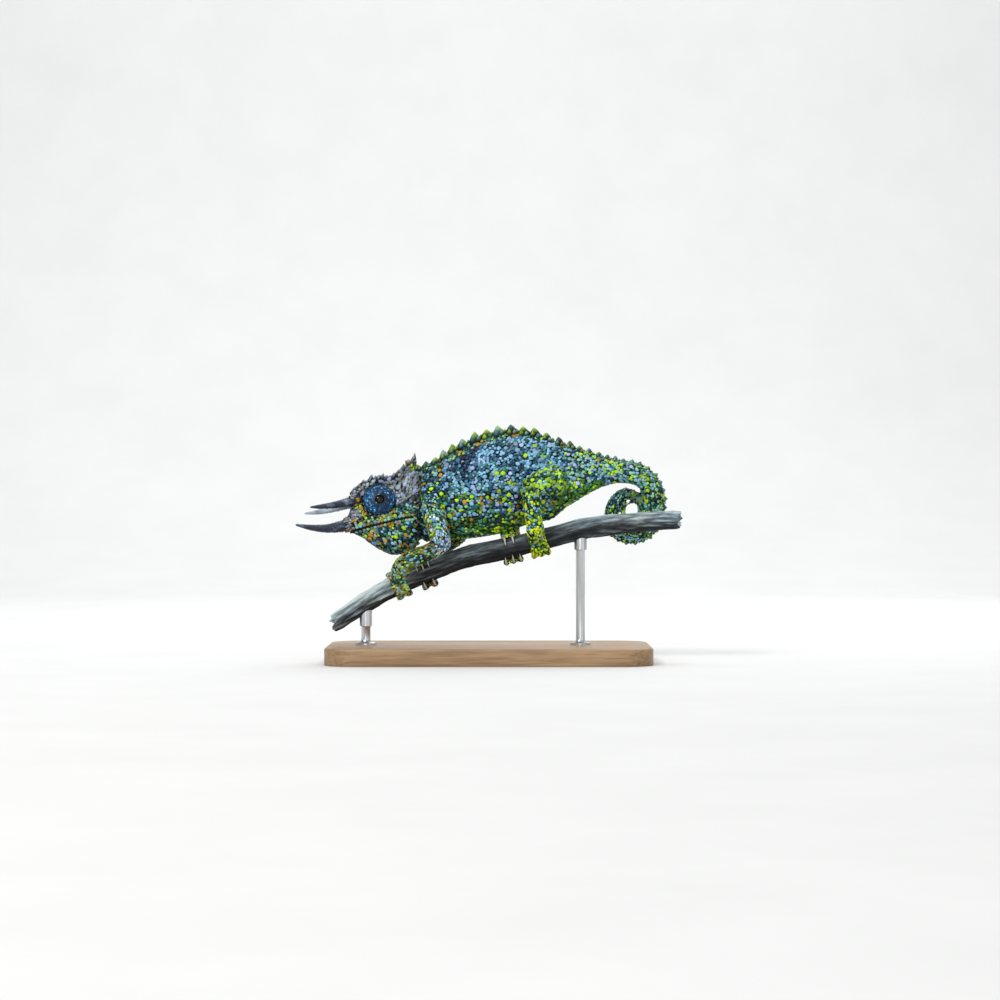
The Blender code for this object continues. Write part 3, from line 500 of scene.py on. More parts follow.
def unwrapSkin():
    bpy.ops.object.select_all(action="DESELECT")
    bpy.context.view_layer.objects.active = skin
    skin.select_set(True)
    skin.data.uv_layers.new(name="OFBake")
    bpy.ops.object.mode_set(mode="EDIT")
    bpy.ops.mesh.select_all(action="SELECT")
    bpy.ops.uv.smart_project(angle_limit=math.radians(75), island_margin=0.002)
    bpy.ops.object.mode_set(mode="OBJECT")


fleshMesh, fleshTree, fleshOwners = fleshCopy()
skin, skinPoints, skinLabels = makeSkin()
unwrapSkin()
skinTree = BVHTree.FromObject(skin, bpy.context.evaluated_depsgraph_get())
skinUv = np.empty(len(skin.data.loops) * 2)
skin.data.uv_layers["OFBake"].data.foreach_get("uv", skinUv)
skinUv = skinUv.reshape(-1, 2)
firstLoop = np.empty(len(skin.data.polygons), np.int32)
skin.data.polygons.foreach_get("loop_start", firstLoop)
print("skin:", len(skinPoints), "points, unwrapped")


def ontoSkin(start, direction):  # first point of the skin along a line, and its normal
    hit = skinTree.ray_cast(Vector(start) * mm, Vector(direction).normalized(), 0.08)
    return (np.array(hit[0]) / mm, np.array(hit[1])) if hit[0] else (None, None)


clearOfHead = 28.0


def besideHead(x, z, side):  # point of the face seen straight from one side
    return ontoSkin(fromHead((x, side * clearOfHead, z)), headSpin @ (0.0, -side, 0.0))


# markings: which colours grow where, some of them darker hues that paint shade on the belly and under the
# tail

hues = {  # from cool and dark to warm
    "navy": (0.006, 0.022, 0.075), "teal": (0.010, 0.075, 0.105), "blue": (0.040, 0.160, 0.290),
    "sky": (0.180, 0.400, 0.560), "lilac": (0.300, 0.380, 0.620), "pale": (0.580, 0.690, 0.740),
    "slate": (0.060, 0.072, 0.100), "grey": (0.190, 0.230, 0.262), "ash": (0.300, 0.360, 0.395),
    "forest": (0.006, 0.036, 0.010), "sea": (0.050, 0.220, 0.170), "mint": (0.250, 0.480, 0.330),
    "leaf": (0.055, 0.190, 0.016), "lime": (0.360, 0.590, 0.004), "yellow": (0.600, 0.680, 0.004),
    "ochre": (0.340, 0.190, 0.020), "rust": (0.330, 0.110, 0.012),
}
markings = {  # share of each hue among a region's small scales, and the hues of its large ones
    "saddle": ("navy 7 teal 14 blue 22 sky 40 lilac 7 sea 9 lime 1", "sky lilac blue sky lime teal sky"),
    "shoulder": ("navy 44 teal 16 blue 24 sky 10 lilac 6", "blue navy lilac"),
    "flank": ("navy 6 teal 15 blue 10 sky 14 lilac 9 forest 11 sea 14 leaf 10 lime 8 ochre 3",
              "lilac sky lime ochre lime sky sea"),
    # belly: dark greens, partly the belly's own colour and partly painted shade under the body
    "belly": ("navy 5 forest 34 sea 13 mint 6 leaf 23 lime 14 ochre 5", "lime leaf lime ochre leaf sea"),
    "spineRow": ("navy 6 teal 14 sky 9 forest 18 sea 18 mint 10 leaf 12 lime 9 ochre 4",
                 "sea lime teal ochre mint"),
    "neck": ("navy 12 teal 20 blue 16 sky 14 forest 12 sea 10 mint 4 leaf 6 lime 5 ochre 1",
             "teal lime sky ochre"),
    "thigh": ("teal 6 sky 8 forest 16 sea 16 mint 11 leaf 28 lime 15", "lime lime mint lime lime"),
    "shin": ("teal 5 sky 16 forest 12 sea 8 mint 13 leaf 17 lime 17 yellow 12",
             "yellow lime sky yellow lime"),
    "hindFoot": ("forest 15 sky 7 sea 7 mint 6 leaf 24 lime 22 yellow 19", "yellow lime yellow"),
    "upperArm": ("teal 12 sky 18 pale 4 forest 9 sea 15 mint 17 leaf 11 lime 6 ochre 8",
                 "sky ochre mint pale lime"),
    "elbow": ("blue 6 sky 20 lilac 8 pale 42 forest 8 mint 12 ochre 4", "pale pale sky"),
    "forearm": ("teal 10 sky 10 forest 20 sea 10 mint 14 leaf 16 lime 8 ochre 12",
                "ochre sky ochre lime mint"),
    "casque": ("slate 8 grey 40 ash 41 lilac 7 sea 1 ochre 3", "grey ash ash lilac"),
    "snout": ("slate 14 grey 42 ash 22 lime 6 ochre 7 rust 2", "grey ash grey ash"),
    "cheek": ("teal 9 sky 11 grey 5 forest 21 sea 16 mint 11 leaf 10 lime 7 ochre 10",
              "ochre lime mint ochre sky"),
    "throat": ("navy 8 teal 14 sky 14 grey 5 forest 24 sea 12 mint 8 leaf 6 lime 4 ochre 5",
               "sky ash mint ochre lime"),
    "tailBase": ("navy 4 teal 11 blue 5 sky 20 lilac 6 forest 9 sea 17 mint 19 lime 9",
                 "lilac sky lime mint mint"),
    "tail": ("navy 3 teal 7 sky 14 lilac 2 forest 14 sea 13 mint 21 leaf 15 lime 11",
             "sky mint lime sea lime"),
    # under: dark greens as painted shade below the thigh and under the tail's base
    "under": ("navy 4 forest 32 sea 8 mint 6 leaf 42 lime 8", "leaf leaf lime"),
}


def sharesOf(text):  # each hue's number in a text of hues and numbers
    words = text.split()
    given = dict(zip(words[::2], map(int, words[1::2])))
    return [given.get(hue, 0) for hue in hues]


regionNames = list(markings)
hueNames = list(hues)
hueTable = np.array(list(hues.values()))
regionShares = np.array([sharesOf(small) for small, _ in markings.values()])
regionShares = regionShares / regionShares.sum(axis=1)[:, None]
regionLarge = np.array([[large.split().count(hue) for hue in hues] for _, large in markings.values()])
regionLarge = regionLarge / regionLarge.sum(axis=1)[:, None]
paintedShadePatches = [  # x, z, reach in x, reach in z and strength of painted shade, mostly behind the head, beside the limbs, under the tail and inside the coil
    (-36.2, 83.0, 1.7, 26.0, 0.85), (-17.0, 64.0, 3.6, 9.0, 0.55), (15.5, 84.0, 2.4, 10.0, 0.6),
    (35.5, 85.0, 5.0, 5.0, 0.45), (-20.0, 104.0, 7.0, 4.0, 0.3), (12.5, 111.0, 3.5, 3.0, 0.45),
    (-52.0, 58.0, 9.0, 3.0, 0.35), (77.0, 86.5, 6.0, 4.0, 0.5), (-29.5, 60.0, 5.0, 3.0, 0.35),
]
accents = [  # x, z, reach and hue of single spots on the side of the head, in its own frame
    (6.4, 11.4, 2.2, "lime"), (3.6, 2.8, 1.0, "ochre"), (12.0, -5.5, 1.8, "ochre"),
    (24.0, -6.0, 1.6, "lime"), (33.4, 31.0, 1.4, "lime"),
]
# painted shade: a dark line along the groove at the temple, behind the eye, in the head's own frame
templeGrooveShade = {"from": (27.0, 11.6), "to": (38.5, 16.8), "reach": 0.9, "strength": 0.85}
nodeRegions = {  # region of a whole node, where no finer rule below says otherwise
    "tailBase": ["tail_base"], "tail": ["tail_bend", "tail_under_branch", *coilNodes],
    "thigh": legNodes[:2], "shin": legNodes[2:], "hindFoot": ["foot_left", "foot_right"],
    "upperArm": armNodes[:2], "forearm": armNodes[2:] + ["hand_left", "hand_right"],
    "cheek": ["head"], "throat": ["jaw"],
}
casqueEdge = {"z": 10.5, "rise": 0.16, "from": 22}  # lower edge of the grey casque in the head's frame


def regionsOf(points, labels):
    fuzz = waves(points, 8.0, 3)
    x = points[:, 0] - shiftX + fuzz * 1.5
    z = points[:, 2] + fuzz * 2.4
    number = {name: index for index, name in enumerate(regionNames)}
    region = np.full(len(points), number["flank"])
    for name, members in nodeRegions.items():
        region[labelled(labels, *members)] = number[name]
    trunk = labelled(labels, "torso", "neck")
    region[trunk & (z > 89 + np.clip(x, 0, 40) * 0.05)] = number["saddle"]
    region[trunk & (z > 97) & (x > -27) & (x < -6)] = number["shoulder"]
    region[trunk & (z < 76 + np.clip(x, -30, 40) * 0.12)] = number["belly"]
    region[trunk & (x < -24 + (z - 84) * 0.12)] = number["neck"]
    belowTail = np.interp(x, [36, 48, 60, 70], [90, 92.5, 93.5, 95])
    region[labelled(labels, "tail_base", "torso") & (z < belowTail) & (x > 34)] = number["under"]
    backLine = np.interp(x, *np.array([(row[0], row[2] + row[3]) for row in bodyLine]).T)
    ridge = labelled(labels, "torso", "neck", "tail_base") & (points[:, 2] > backLine - 3.4)
    region[ridge & (x < 62)] = number["spineRow"]
    region[labelled(labels, "upper_arm_left", "forearm_left") & (x > -27.5) & (z < 70)] = number["elbow"]
    local = toHead(points)
    hx, hz = local[:, 0] + fuzz, local[:, 2] + fuzz
    head, jaw = labelled(labels, "head"), labelled(labels, "jaw")
    edge = casqueEdge["z"] + np.clip(hx - casqueEdge["from"], -30, 20) * casqueEdge["rise"]
    region[head & (hz > edge)] = number["casque"]
    region[head & (hx < 6.5) & (hz > 1)] = number["snout"]
    region[jaw & (hz > -2.5 + hx * 0.08) & (hx > 9)] = number["cheek"]
    return region


paintLook = {"patchy": 0.22, "fine": 0.12, "clump": 0.75, "hueSpread": 0.22, "tintSpread": 0.07}


# painted shade from the patches and the temple groove, times a random patchy tone
def shadeAt(points):
    x, z = points[:, 0] - shiftX, points[:, 2]
    shade = np.ones(len(points))
    for px, pz, rx, rz, strength in paintedShadePatches:
        shade *= 1 - strength * np.exp(-((x - px) / rx) ** 2 - ((z - pz) / rz) ** 2)
    local = toHead(points)[:, [0, 2]]
    start, line = np.array(templeGrooveShade["from"]), np.subtract(templeGrooveShade["to"], templeGrooveShade["from"])
    share = np.clip((local - start) @ line / (line @ line), 0, 1)
    apart = np.linalg.norm(local - start - share[:, None] * line, axis=1)
    shade *= 1 - templeGrooveShade["strength"] * bell(apart, templeGrooveShade["reach"])
    patches = paintLook["patchy"] * waves(points, 7.5, 8)
    return shade * (1 + patches + paintLook["fine"] * waves(points, 3.0, 9))


def paint(points, labels, rng, large=None):  # a colour for each scale, where neighbours tend to be alike
    regions = regionsOf(points, labels)
    draw = rng.uniform(-1, 1, len(points)) + paintLook["clump"] * waves(points, 6.0, 14)
    place = np.zeros(len(points))
    for region in np.unique(regions):
        mine = np.flatnonzero(regions == region)
        place[mine] = (draw[mine].argsort().argsort() + 0.5) / len(mine)
    shares = regionShares[regions]
    if large is not None:
        shares = np.where(large[:, None], regionLarge[regions], shares)
        place = np.where(large, rng.uniform(0, 1, len(points)), place)
    chosen = (place[:, None] > np.cumsum(shares, axis=1)).sum(axis=1).clip(0, len(hueTable) - 1)
    local = toHead(points)
    face = labelled(labels, "head", "jaw")
    for x, z, reach, hue in accents:
        chosen[face & (np.hypot(local[:, 0] - x, local[:, 2] - z) < reach)] = hueNames.index(hue)
    spread, tint = paintLook["hueSpread"], paintLook["tintSpread"]
    colour = hueTable[chosen] * rng.uniform(1 - spread, 1 + spread, (len(points), 1))
    colour = colour * rng.uniform(1 - tint, 1 + tint, (len(points), 3))
    return np.clip(colour * shadeAt(points)[:, None], 0.002, 0.92)


def drawn(rng, count, **shares):  # a hue for each form from named shares
    odds = np.array(list(shares.values()), float)
    return hueTable[rng.choice([hueNames.index(name) for name in shares], count, p=odds / odds.sum())]


patchReach = 0.0015  # half the width of a form's patch on the unwrap


def bakePatches(piece, roots, owner, rootUv, normals, size):  # each form's own patch at its root's place
    offset = pointsOf(piece.data) - roots[owner]
    east = np.cross(normals, [0.31, 0.95, 0.05])
    east /= np.linalg.norm(east, axis=1)[:, None] + 1e-9
    north = np.cross(normals, east)
    flat = np.column_stack([(offset * east[owner]).sum(axis=1), (offset * north[owner]).sum(axis=1)])
    uv = rootUv[owner] + np.clip(flat / size, -1, 1) * patchReach
    corners = np.empty(len(piece.data.loops), np.int32)
    piece.data.loops.foreach_get("vertex_index", corners)
    piece.data.uv_layers.new(name="OFBake").data.foreach_set("uv", np.clip(uv[corners], 0, 1).ravel())


# the skin shows only between the scales, so its colour is darkened to near black there as painted shade in
# the gaps
skinFinish = {"gapShade": 0.05, "roughness": 0.8, "wrinkle": 900.0}


def finishSkin():
    colours = (regionShares[regionsOf(skinPoints, skinLabels)] @ hueTable) * skinFinish["gapShade"]
    storeColour(skin.data, colours * shadeAt(skinPoints)[:, None])
    material, tree, shader = newMaterial("skinHide", skinFinish["roughness"], Specular_IOR_Level=0.1)
    tint = ramp(tree, objectNoise(tree, 700.0), (0.3, (0.5, 0.5, 0.55)), (0.7, (1.3, 1.3, 1.2)))
    setColour(tree, shader, stored(tree, "hideColour", "Color"), tint)
    addBump(tree, shader, objectNoise(tree, skinFinish["wrinkle"]), 0.5, 0.0003)
    finished(skin, material, "skin_green", *fleshNodes)


finishSkin()


# forms: the small shapes that repeat over the hide

# rings of radius and height for a radius of 1, top, length to width, how far the rear narrows and leans
forms = {
    "granule": {"sides": 8, "rings": [(1.0, -0.4), (1.0, 0.06), (0.8, 0.34), (0.45, 0.5)], "top": 0.54,
                "length": 1.14, "point": 0.1, "lean": 0.08, "uneven": 0.13},
    "leaf": {"sides": 8, "rings": [(1.0, -0.4), (1.0, 0.05), (0.74, 0.32), (0.36, 0.5)], "top": 0.58,
             "length": 1.5, "point": 0.45, "lean": 0.35, "uneven": 0.1},
    "cone": {"sides": 9, "rings": [(1.0, -0.35), (0.98, 0.0), (0.8, 0.3), (0.52, 0.62), (0.22, 0.88)],
             "top": 1.0, "length": 1.25, "point": 0.05, "lean": 0.22, "uneven": 0.08},
    "spine": {"sides": 9, "rings": [(1.0, -0.35), (1.0, 0.02), (0.82, 0.32), (0.53, 0.63), (0.22, 0.89)],
              "top": 1.0, "length": 1.25, "point": 0.05, "lean": 0.22, "uneven": 0.1},
    "plate": {"sides": 10, "rings": [(1.0, -0.5), (1.0, 0.12), (0.88, 0.42), (0.5, 0.6)], "top": 0.64,
              "length": 1.0, "point": 0.0, "lean": 0.0, "uneven": 0.06},
    "bead": {"sides": 6, "rings": [(1.0, -0.4), (0.98, 0.12), (0.62, 0.5)], "top": 0.62,
             "length": 1.1, "point": 0.0, "lean": 0.0, "uneven": 0.1},
}
variants = 6


def formMesh(kind, seed):
    look = forms[kind]
    rng = np.random.default_rng(seed)
    sides = look["sides"]
    wobble = rng.uniform(1 - look["uneven"], 1 + look["uneven"], sides)
    turn = rng.uniform(-0.16, 0.16, sides)
    points, rise = [], []
    for radius, height in look["rings"] + [(0.0, look["top"])]:
        for k in range(sides if radius else 1):
            angle = 2 * math.pi * k / sides + turn[k]
            reach = radius * (1 + (wobble[k] - 1) * min(radius * 1.2, 1))
            narrow = 1 - look["point"] * max(math.cos(angle), 0)
            points.append((math.cos(angle) * reach * look["length"] + look["lean"] * max(height, 0),
                           math.sin(angle) * reach * narrow, height))
            rise.append(max(height, 0) / look["top"])
    count = len(look["rings"])
    faces = ringFaces(count, sides) + [tuple(reversed(range(sides)))]
    faces += [((count - 1) * sides + k, (count - 1) * sides + (k + 1) % sides, count * sides)
              for k in range(sides)]
    mesh = bpy.data.meshes.new(kind + str(seed))
    mesh.from_pydata(points, [], faces)
    mesh.shade_smooth()
    storeFloat(mesh, rise, "rise")
    return bpy.data.objects.new(kind + str(seed), mesh)


def formCollection(kind):
    made = bpy.data.collections.new(kind)
    for seed in range(variants):
        made.objects.link(formMesh(kind, seed + 1))
    return made


collections = {kind: formCollection(kind) for kind in forms}
formPoints = {kind: look["sides"] * len(look["rings"]) + 1 for kind, look in forms.items()}


def attribute(tree, name, kind="FLOAT_VECTOR"):
    return outputOf(tree, "GeometryNodeInputNamedAttribute", {"Name": name}, data_type=kind)


def storeIn(tree, geometry, name, value):
    inputs = {"Geometry": geometry, "Name": name, "Value": value}
    return outputOf(tree, "GeometryNodeStoreNamedAttribute", inputs, data_type="FLOAT_VECTOR",
                    domain="POINT")


def addInputs(tree, *sockets):
    tree.interface.new_socket("Geometry", in_out="OUTPUT", socket_type="NodeSocketGeometry")
    for name, kind in (("Geometry", "Geometry"), *sockets):
        tree.interface.new_socket(name, in_out="INPUT", socket_type="NodeSocket" + kind)
    return addNode(tree, "NodeGroupInput").outputs


# a form on each point stands along "aim", lies along "lie", sized by "girth"
def standForms(tree, points, given):
    rotation = outputOf(tree, "FunctionNodeAlignRotationToVector", {"Vector": attribute(tree, "aim")},
                        axis="Z")
    rotation = outputOf(tree, "FunctionNodeAlignRotationToVector",
                        {"Rotation": rotation, "Vector": attribute(tree, "lie")}, axis="X", pivot_axis="Z")
    loose = outputOf(tree, "FunctionNodeRandomValue", {0: (-1, -1, -1), 1: (1, 1, 1), "Seed": 5},
                     data_type="FLOAT_VECTOR")
    wobble = outputOf(tree, "ShaderNodeVectorMath", {0: loose, 1: given["Wobble"], 2: given["Tilt"]},
                      operation="MULTIPLY_ADD")
    turn = outputOf(tree, "FunctionNodeEulerToRotation", {0: wobble})
    rotation = outputOf(tree, "FunctionNodeRotateRotation", {"Rotation": rotation, "Rotate By": turn},
                        rotation_space="LOCAL")
    pick = addNode(tree, "FunctionNodeRandomValue", {4: 0, 5: variants - 1, "Seed": 8}, data_type="INT")
    shapes = outputOf(tree, "GeometryNodeCollectionInfo", {
        "Collection": given["Forms"], "Separate Children": True, "Reset Children": True})
    grown = outputOf(tree, "GeometryNodeInstanceOnPoints", {
        "Points": points, "Instance": shapes, "Pick Instance": True, "Instance Index": pick.outputs[2],
        "Rotation": rotation, "Scale": attribute(tree, "girth")})
    grown = outputOf(tree, "GeometryNodeRealizeInstances", {"Geometry": grown})
    grown = outputOf(tree, "GeometryNodeSetMaterial", {"Geometry": grown, "Material": given["Material"]})
    addNode(tree, "NodeGroupOutput", {0: grown})


formInputs = (("Forms", "Collection"), ("Material", "Material"), ("Wobble", "Vector"), ("Tilt", "Vector"))


def placedTree():  # forms on points that are already placed
    tree = bpy.data.node_groups.new("placedForms", "GeometryNodeTree")
    given = addInputs(tree, *formInputs)
    standForms(tree, given["Geometry"], given)
    return tree


def scatter(tree, given, spacing, seed, crowd):
    limit = maths(tree, "DIVIDE", crowd, maths(tree, "MULTIPLY", spacing, spacing))
    node = addNode(tree, "GeometryNodeDistributePointsOnFaces", {
        "Mesh": given["Geometry"], "Distance Min": spacing, "Density Max": limit,
        "Density Factor": attribute(tree, "cover", "FLOAT"), "Seed": seed}, distribute_method="POISSON")
    return storeIn(tree, node.outputs["Points"], "aim", node.outputs["Normal"])


def sized(tree, points, width, relief):
    vary = addNode(tree, "FunctionNodeRandomValue", {2: 0.84, 3: 1.18, "Seed": 6}, data_type="FLOAT")
    girth = maths(tree, "MULTIPLY", width, vary.outputs[1])
    girth = maths(tree, "MULTIPLY", girth, attribute(tree, "grow", "FLOAT"))
    height = maths(tree, "MULTIPLY", girth, relief)
    return storeIn(tree, points, "girth", outputOf(tree, "ShaderNodeCombineXYZ",
                                                   {0: girth, 1: girth, 2: height}))


def coatTree():  # scatters large scales, then small ones between them
    tree = bpy.data.node_groups.new("scaleCoat", "GeometryNodeTree")
    given = addInputs(tree, *formInputs, ("Spacing", "Float"), ("Width", "Float"), ("Relief", "Float"),
                      ("Large spacing", "Float"), ("Large width", "Float"), ("Seed", "Int"))
    large = scatter(tree, given, given["Large spacing"], 77, 0.9)
    small = scatter(tree, given, given["Spacing"], given["Seed"], 7.0)
    near = addNode(tree, "GeometryNodeProximity", {0: large}, target_element="POINTS")
    room = maths(tree, "MULTIPLY", given["Large width"], 1.12)
    covered = outputOf(tree, "FunctionNodeCompare", {0: near.outputs["Distance"], 1: room},
                       data_type="FLOAT", operation="LESS_THAN")
    kept = outputOf(tree, "GeometryNodeDeleteGeometry", {"Geometry": small, "Selection": covered},
                    domain="POINT")
    both = addNode(tree, "GeometryNodeJoinGeometry")
    flatter = maths(tree, "MULTIPLY", given["Relief"], 0.8)
    tree.links.new(sized(tree, kept, given["Width"], given["Relief"]), both.inputs[0])
    tree.links.new(sized(tree, large, given["Large width"], flatter), both.inputs[0])
    standForms(tree, both.outputs[0], given)
    return tree


trees = {"placed": placedTree(), "coat": coatTree()}


def runTree(piece, tree, values):
    grow = piece.modifiers.new("grow", "NODES")
    grow.node_group = tree
    for socket in tree.interface.items_tree:
        if socket.in_out == "INPUT" and socket.name in values:
            grow[socket.identifier] = values[socket.name]
    baked(piece)
    for name in ("aim", "lie", "girth", "cover", "grow"):
        if name in piece.data.attributes:
            piece.data.attributes.remove(piece.data.attributes[name])


def finishForms(piece, kind, material, slot, rng, colours=None, tips=None, rootUv=None, largeFrom=None):
    ring = pointsOf(piece.data).reshape(-1, formPoints[kind], 3)[:, :forms[kind]["sides"]]
    roots = ring.mean(axis=1)
    girth = np.linalg.norm(ring - roots[:, None], axis=2).mean(axis=1)
    owner = np.repeat(np.arange(len(roots)), formPoints[kind])
    if colours is None:
        colours = paint(roots, labelPoints(roots), rng, girth > largeFrom if largeFrom else None)
    shown = colours[owner]
    if tips is not None:
        heights = [max(height, 0.0) for _, height in forms[kind]["rings"]
                   for _ in range(forms[kind]["sides"])] + [1.0]
        rise = np.tile(heights, len(roots))[:, None] ** 1.5
        shown = shown * (1 - rise) + tips[owner] * rise
    storeColour(piece.data, shown)
    hits = [skinTree.find_nearest(Vector(root * mm)) for root in roots]
    if rootUv is None:
        rootUv = skinUv[firstLoop[[hit[2] for hit in hits]]]
    bakePatches(piece, roots, owner, rootUv, np.array([hit[1] for hit in hits]), girth.max() * 1.3)
    finished(piece, material, slot)
    print(piece.name + ":", len(roots), "forms")


def placeForms(name, kind, placed, wobble):  # placed: root, aim, lie and girth of each form
    roots, aims, lies, girths = (np.array(column, float) for column in zip(*placed))
    piece = meshObject(name, roots, [])
    storeVector(piece.data, aims, "aim")
    storeVector(piece.data, lies, "lie")
    storeVector(piece.data, girths * mm, "girth")
    runTree(piece, trees["placed"], {"Forms": collections[kind], "Material": hideScales, "Wobble": wobble,
                                     "Tilt": (0.0, 0.0, 0.0)})
    return piece, roots


hideScales = scaleMaterial("hideScales", scaleFinish["roughness"])
casqueScales = scaleMaterial("casqueScales", 0.6)


# coats: small and large scales over each part of the skin

# form, spacing and radius of small scales, relief, spacing and radius of large ones, tilt of the rear edge
coats = {
    "coatFace": {"nodes": ["head"], "form": "granule", "spacing": 1.02, "width": 0.7, "relief": 0.9,
                 "largeSpacing": 2.6, "largeWidth": 0.95, "tilt": 9, "seed": 2},
    "coatCasque": {"nodes": [], "form": "leaf", "spacing": 1.5, "width": 1.08, "relief": 0.75,
                   "largeSpacing": 3.2, "largeWidth": 1.45, "tilt": 17, "seed": 12},
    "coatThroat": {"nodes": ["jaw"], "form": "leaf", "spacing": 1.2, "width": 0.8, "relief": 0.8,
                   "largeSpacing": 3.0, "largeWidth": 1.05, "tilt": 13, "seed": 3},
    "coatNeck": {"nodes": ["neck"], "form": "leaf", "spacing": 1.12, "width": 0.68, "relief": 0.85,
                 "largeSpacing": 3.0, "largeWidth": 1.0, "tilt": 12, "seed": 13},
    "coatBodyLeft": {"nodes": ["torso"], "side": -1, "form": "granule", "spacing": 1.16, "width": 0.79,
                     "relief": 0.8, "largeSpacing": 2.9, "largeWidth": 1.22, "tilt": 7, "seed": 4},
    "coatBodyRight": {"nodes": ["torso"], "side": 1, "form": "granule", "spacing": 1.16, "width": 0.79,
                      "relief": 0.8, "largeSpacing": 2.9, "largeWidth": 1.22, "tilt": 7, "seed": 14},
    "coatArms": {"nodes": armNodes, "form": "leaf", "spacing": 1.1, "width": 0.74, "relief": 0.8,
                 "largeSpacing": 2.8, "largeWidth": 1.0, "tilt": 14, "seed": 5},
    "coatLegs": {"nodes": legNodes, "form": "granule", "spacing": 1.1, "width": 0.75, "relief": 0.85,
                 "largeSpacing": 2.6, "largeWidth": 1.05, "tilt": 10, "seed": 6},
    "coatFeet": {"nodes": footNodes, "form": "granule", "spacing": 0.95, "width": 0.7, "relief": 0.75,
                 "largeSpacing": 2.4, "largeWidth": 0.78, "tilt": 8, "seed": 7},
    "coatTailBase": {"nodes": ["tail_base", "tail_bend"], "form": "granule", "spacing": 1.12, "width": 0.77,
                     "relief": 0.85, "largeSpacing": 2.6, "largeWidth": 1.1, "tilt": 10, "seed": 8},
    "coatTailCoil": {"nodes": ["tail_under_branch", "tail_coil"], "form": "leaf", "spacing": 1.05,
                     "width": 0.66, "relief": 0.85, "largeSpacing": 2.6, "largeWidth": 0.86, "tilt": 12,
                     "seed": 9},
    "coatTailTip": {"nodes": ["tail_inner_coil", "tail_tip"], "form": "leaf", "spacing": 0.8, "width": 0.5,
                    "relief": 0.8, "largeSpacing": 2.4, "largeWidth": 0.56, "tilt": 10, "seed": 10},
}


def lieOfHide(points, labels):  # which way the scales lie
    near, height, _ = axisPlaces(points)
    lies = axisFrames[near, 1] - 0.35 * axisFrames[near, 2] * (height < 12)[:, None]
    coil = labelled(labels, *coilNodes)
    around = np.column_stack([points[:, 2] - coilMiddle[1], np.zeros(len(points)),
                              coilMiddle[0] + shiftX - points[:, 0]])
    lies[coil] = around[coil]
    for name in armNodes + legNodes:
        mine = labelled(labels, name)
        direction = np.linalg.svd(points[mine] - points[mine].mean(axis=0), full_matrices=False)[2][0]
        lies[mine] = direction * (-1 if direction[2] > 0 else 1)
    for name, (gripX, _) in grips.items():
        middle, tangent, _, _ = branchAt(gripX)
        mine = labelled(labels, name)
        lies[mine] = np.cross(tangent, points[mine] - middle) * (1 if name.endswith("left") else -1)
    local = toHead(points)
    x, z = local[:, 0], local[:, 2]
    face = np.column_stack([np.ones(len(points)), np.zeros(len(points)), np.full(len(points), -0.3)])
    casque = z > casqueEdge["z"] + np.clip(x - casqueEdge["from"], 0, 20) * casqueEdge["rise"]
    face[casque, 2] = np.clip((x[casque] - 14) * 0.14, 0, 1.8)
    face[labelled(labels, "jaw"), 2] = -0.75
    ring = np.column_stack([z - eyePlace["z"], np.zeros(len(points)), eyePlace["x"] - x])
    beside = np.hypot(x - eyePlace["x"], z - eyePlace["z"]) < 11.0
    face[beside] = ring[beside] * np.sign(ring[beside, :1] + 1e-6)
    head = labelled(labels, "head", "jaw")
    lies[head] = (face @ headSpin.T)[head]
    return lies


nostrilLook = {"x": 6.3, "z": 3.5, "radius": 0.72, "long": 1.3,
               "profile": ((1.75, -0.3), (1.65, 0.25), (1.4, 0.6), (1.1, 0.65), (0.85, 0.45), (0.7, 0.0),
                           (0.4, -0.5))}
bareHide = {"lips": 1.72, "nostril": 1.75, "eye": 8.6, "claw": 1.25}  # how far from each no scale grows


def coverOfHide(points, labels):  # no scattered scales along the lips, in the eye sockets or at the claws
    local = toHead(points)
    cover = np.ones(len(points))
    head = labelled(labels, "head", "jaw")
    lipGap = np.abs(local[:, 2] - np.interp(local[:, 0], *zip(*mouthLine)))
    cover[head & (lipGap < bareHide["lips"]) & (local[:, 0] < 34)] = 0
    fromNostril = np.hypot(local[:, 0] - nostrilLook["x"], local[:, 2] - nostrilLook["z"])
    cover[head & (fromNostril < bareHide["nostril"])] = 0
    fromEye = np.hypot(local[:, 0] - eyePlace["x"], local[:, 2] - eyePlace["z"])
    cover[head & (fromEye < bareHide["eye"]) & (np.abs(local[:, 1]) > 3)] = 0
    axis = np.concatenate([middles[3:] for middles, _, _, _ in clawLines])
    feet = labelled(labels, *footNodes)
    cover[feet] = nearestIn(points[feet], axis)[1] > bareHide["claw"]
    return cover


coatWobble = (0.12, 0.1, 0.35)  # how loosely the scales stand, lean and turn
hideLie = lieOfHide(skinPoints, skinLabels)
hideCover = coverOfHide(skinPoints, skinLabels)
hideGrow = 1.0 + 0.1 * waves(skinPoints, 9.0, 33)


def zoneOfHide():  # which coat covers each point of the skin
    zone = np.zeros(len(skinPoints), int)
    for index, look in enumerate(coats.values()):
        mine = labelled(skinLabels, *look["nodes"])
        if "side" in look:
            mine &= skinPoints[:, 1] * look["side"] > 0
        zone[mine] = index
    zone[regionsOf(skinPoints, skinLabels) == regionNames.index("casque")] = list(coats).index("coatCasque")
    return zone


hideZone = zoneOfHide()
skinQuads = np.empty(len(skin.data.polygons) * 4, np.int32)
skin.data.polygons.foreach_get("vertices", skinQuads)
skinQuads = skinQuads.reshape(-1, 4)


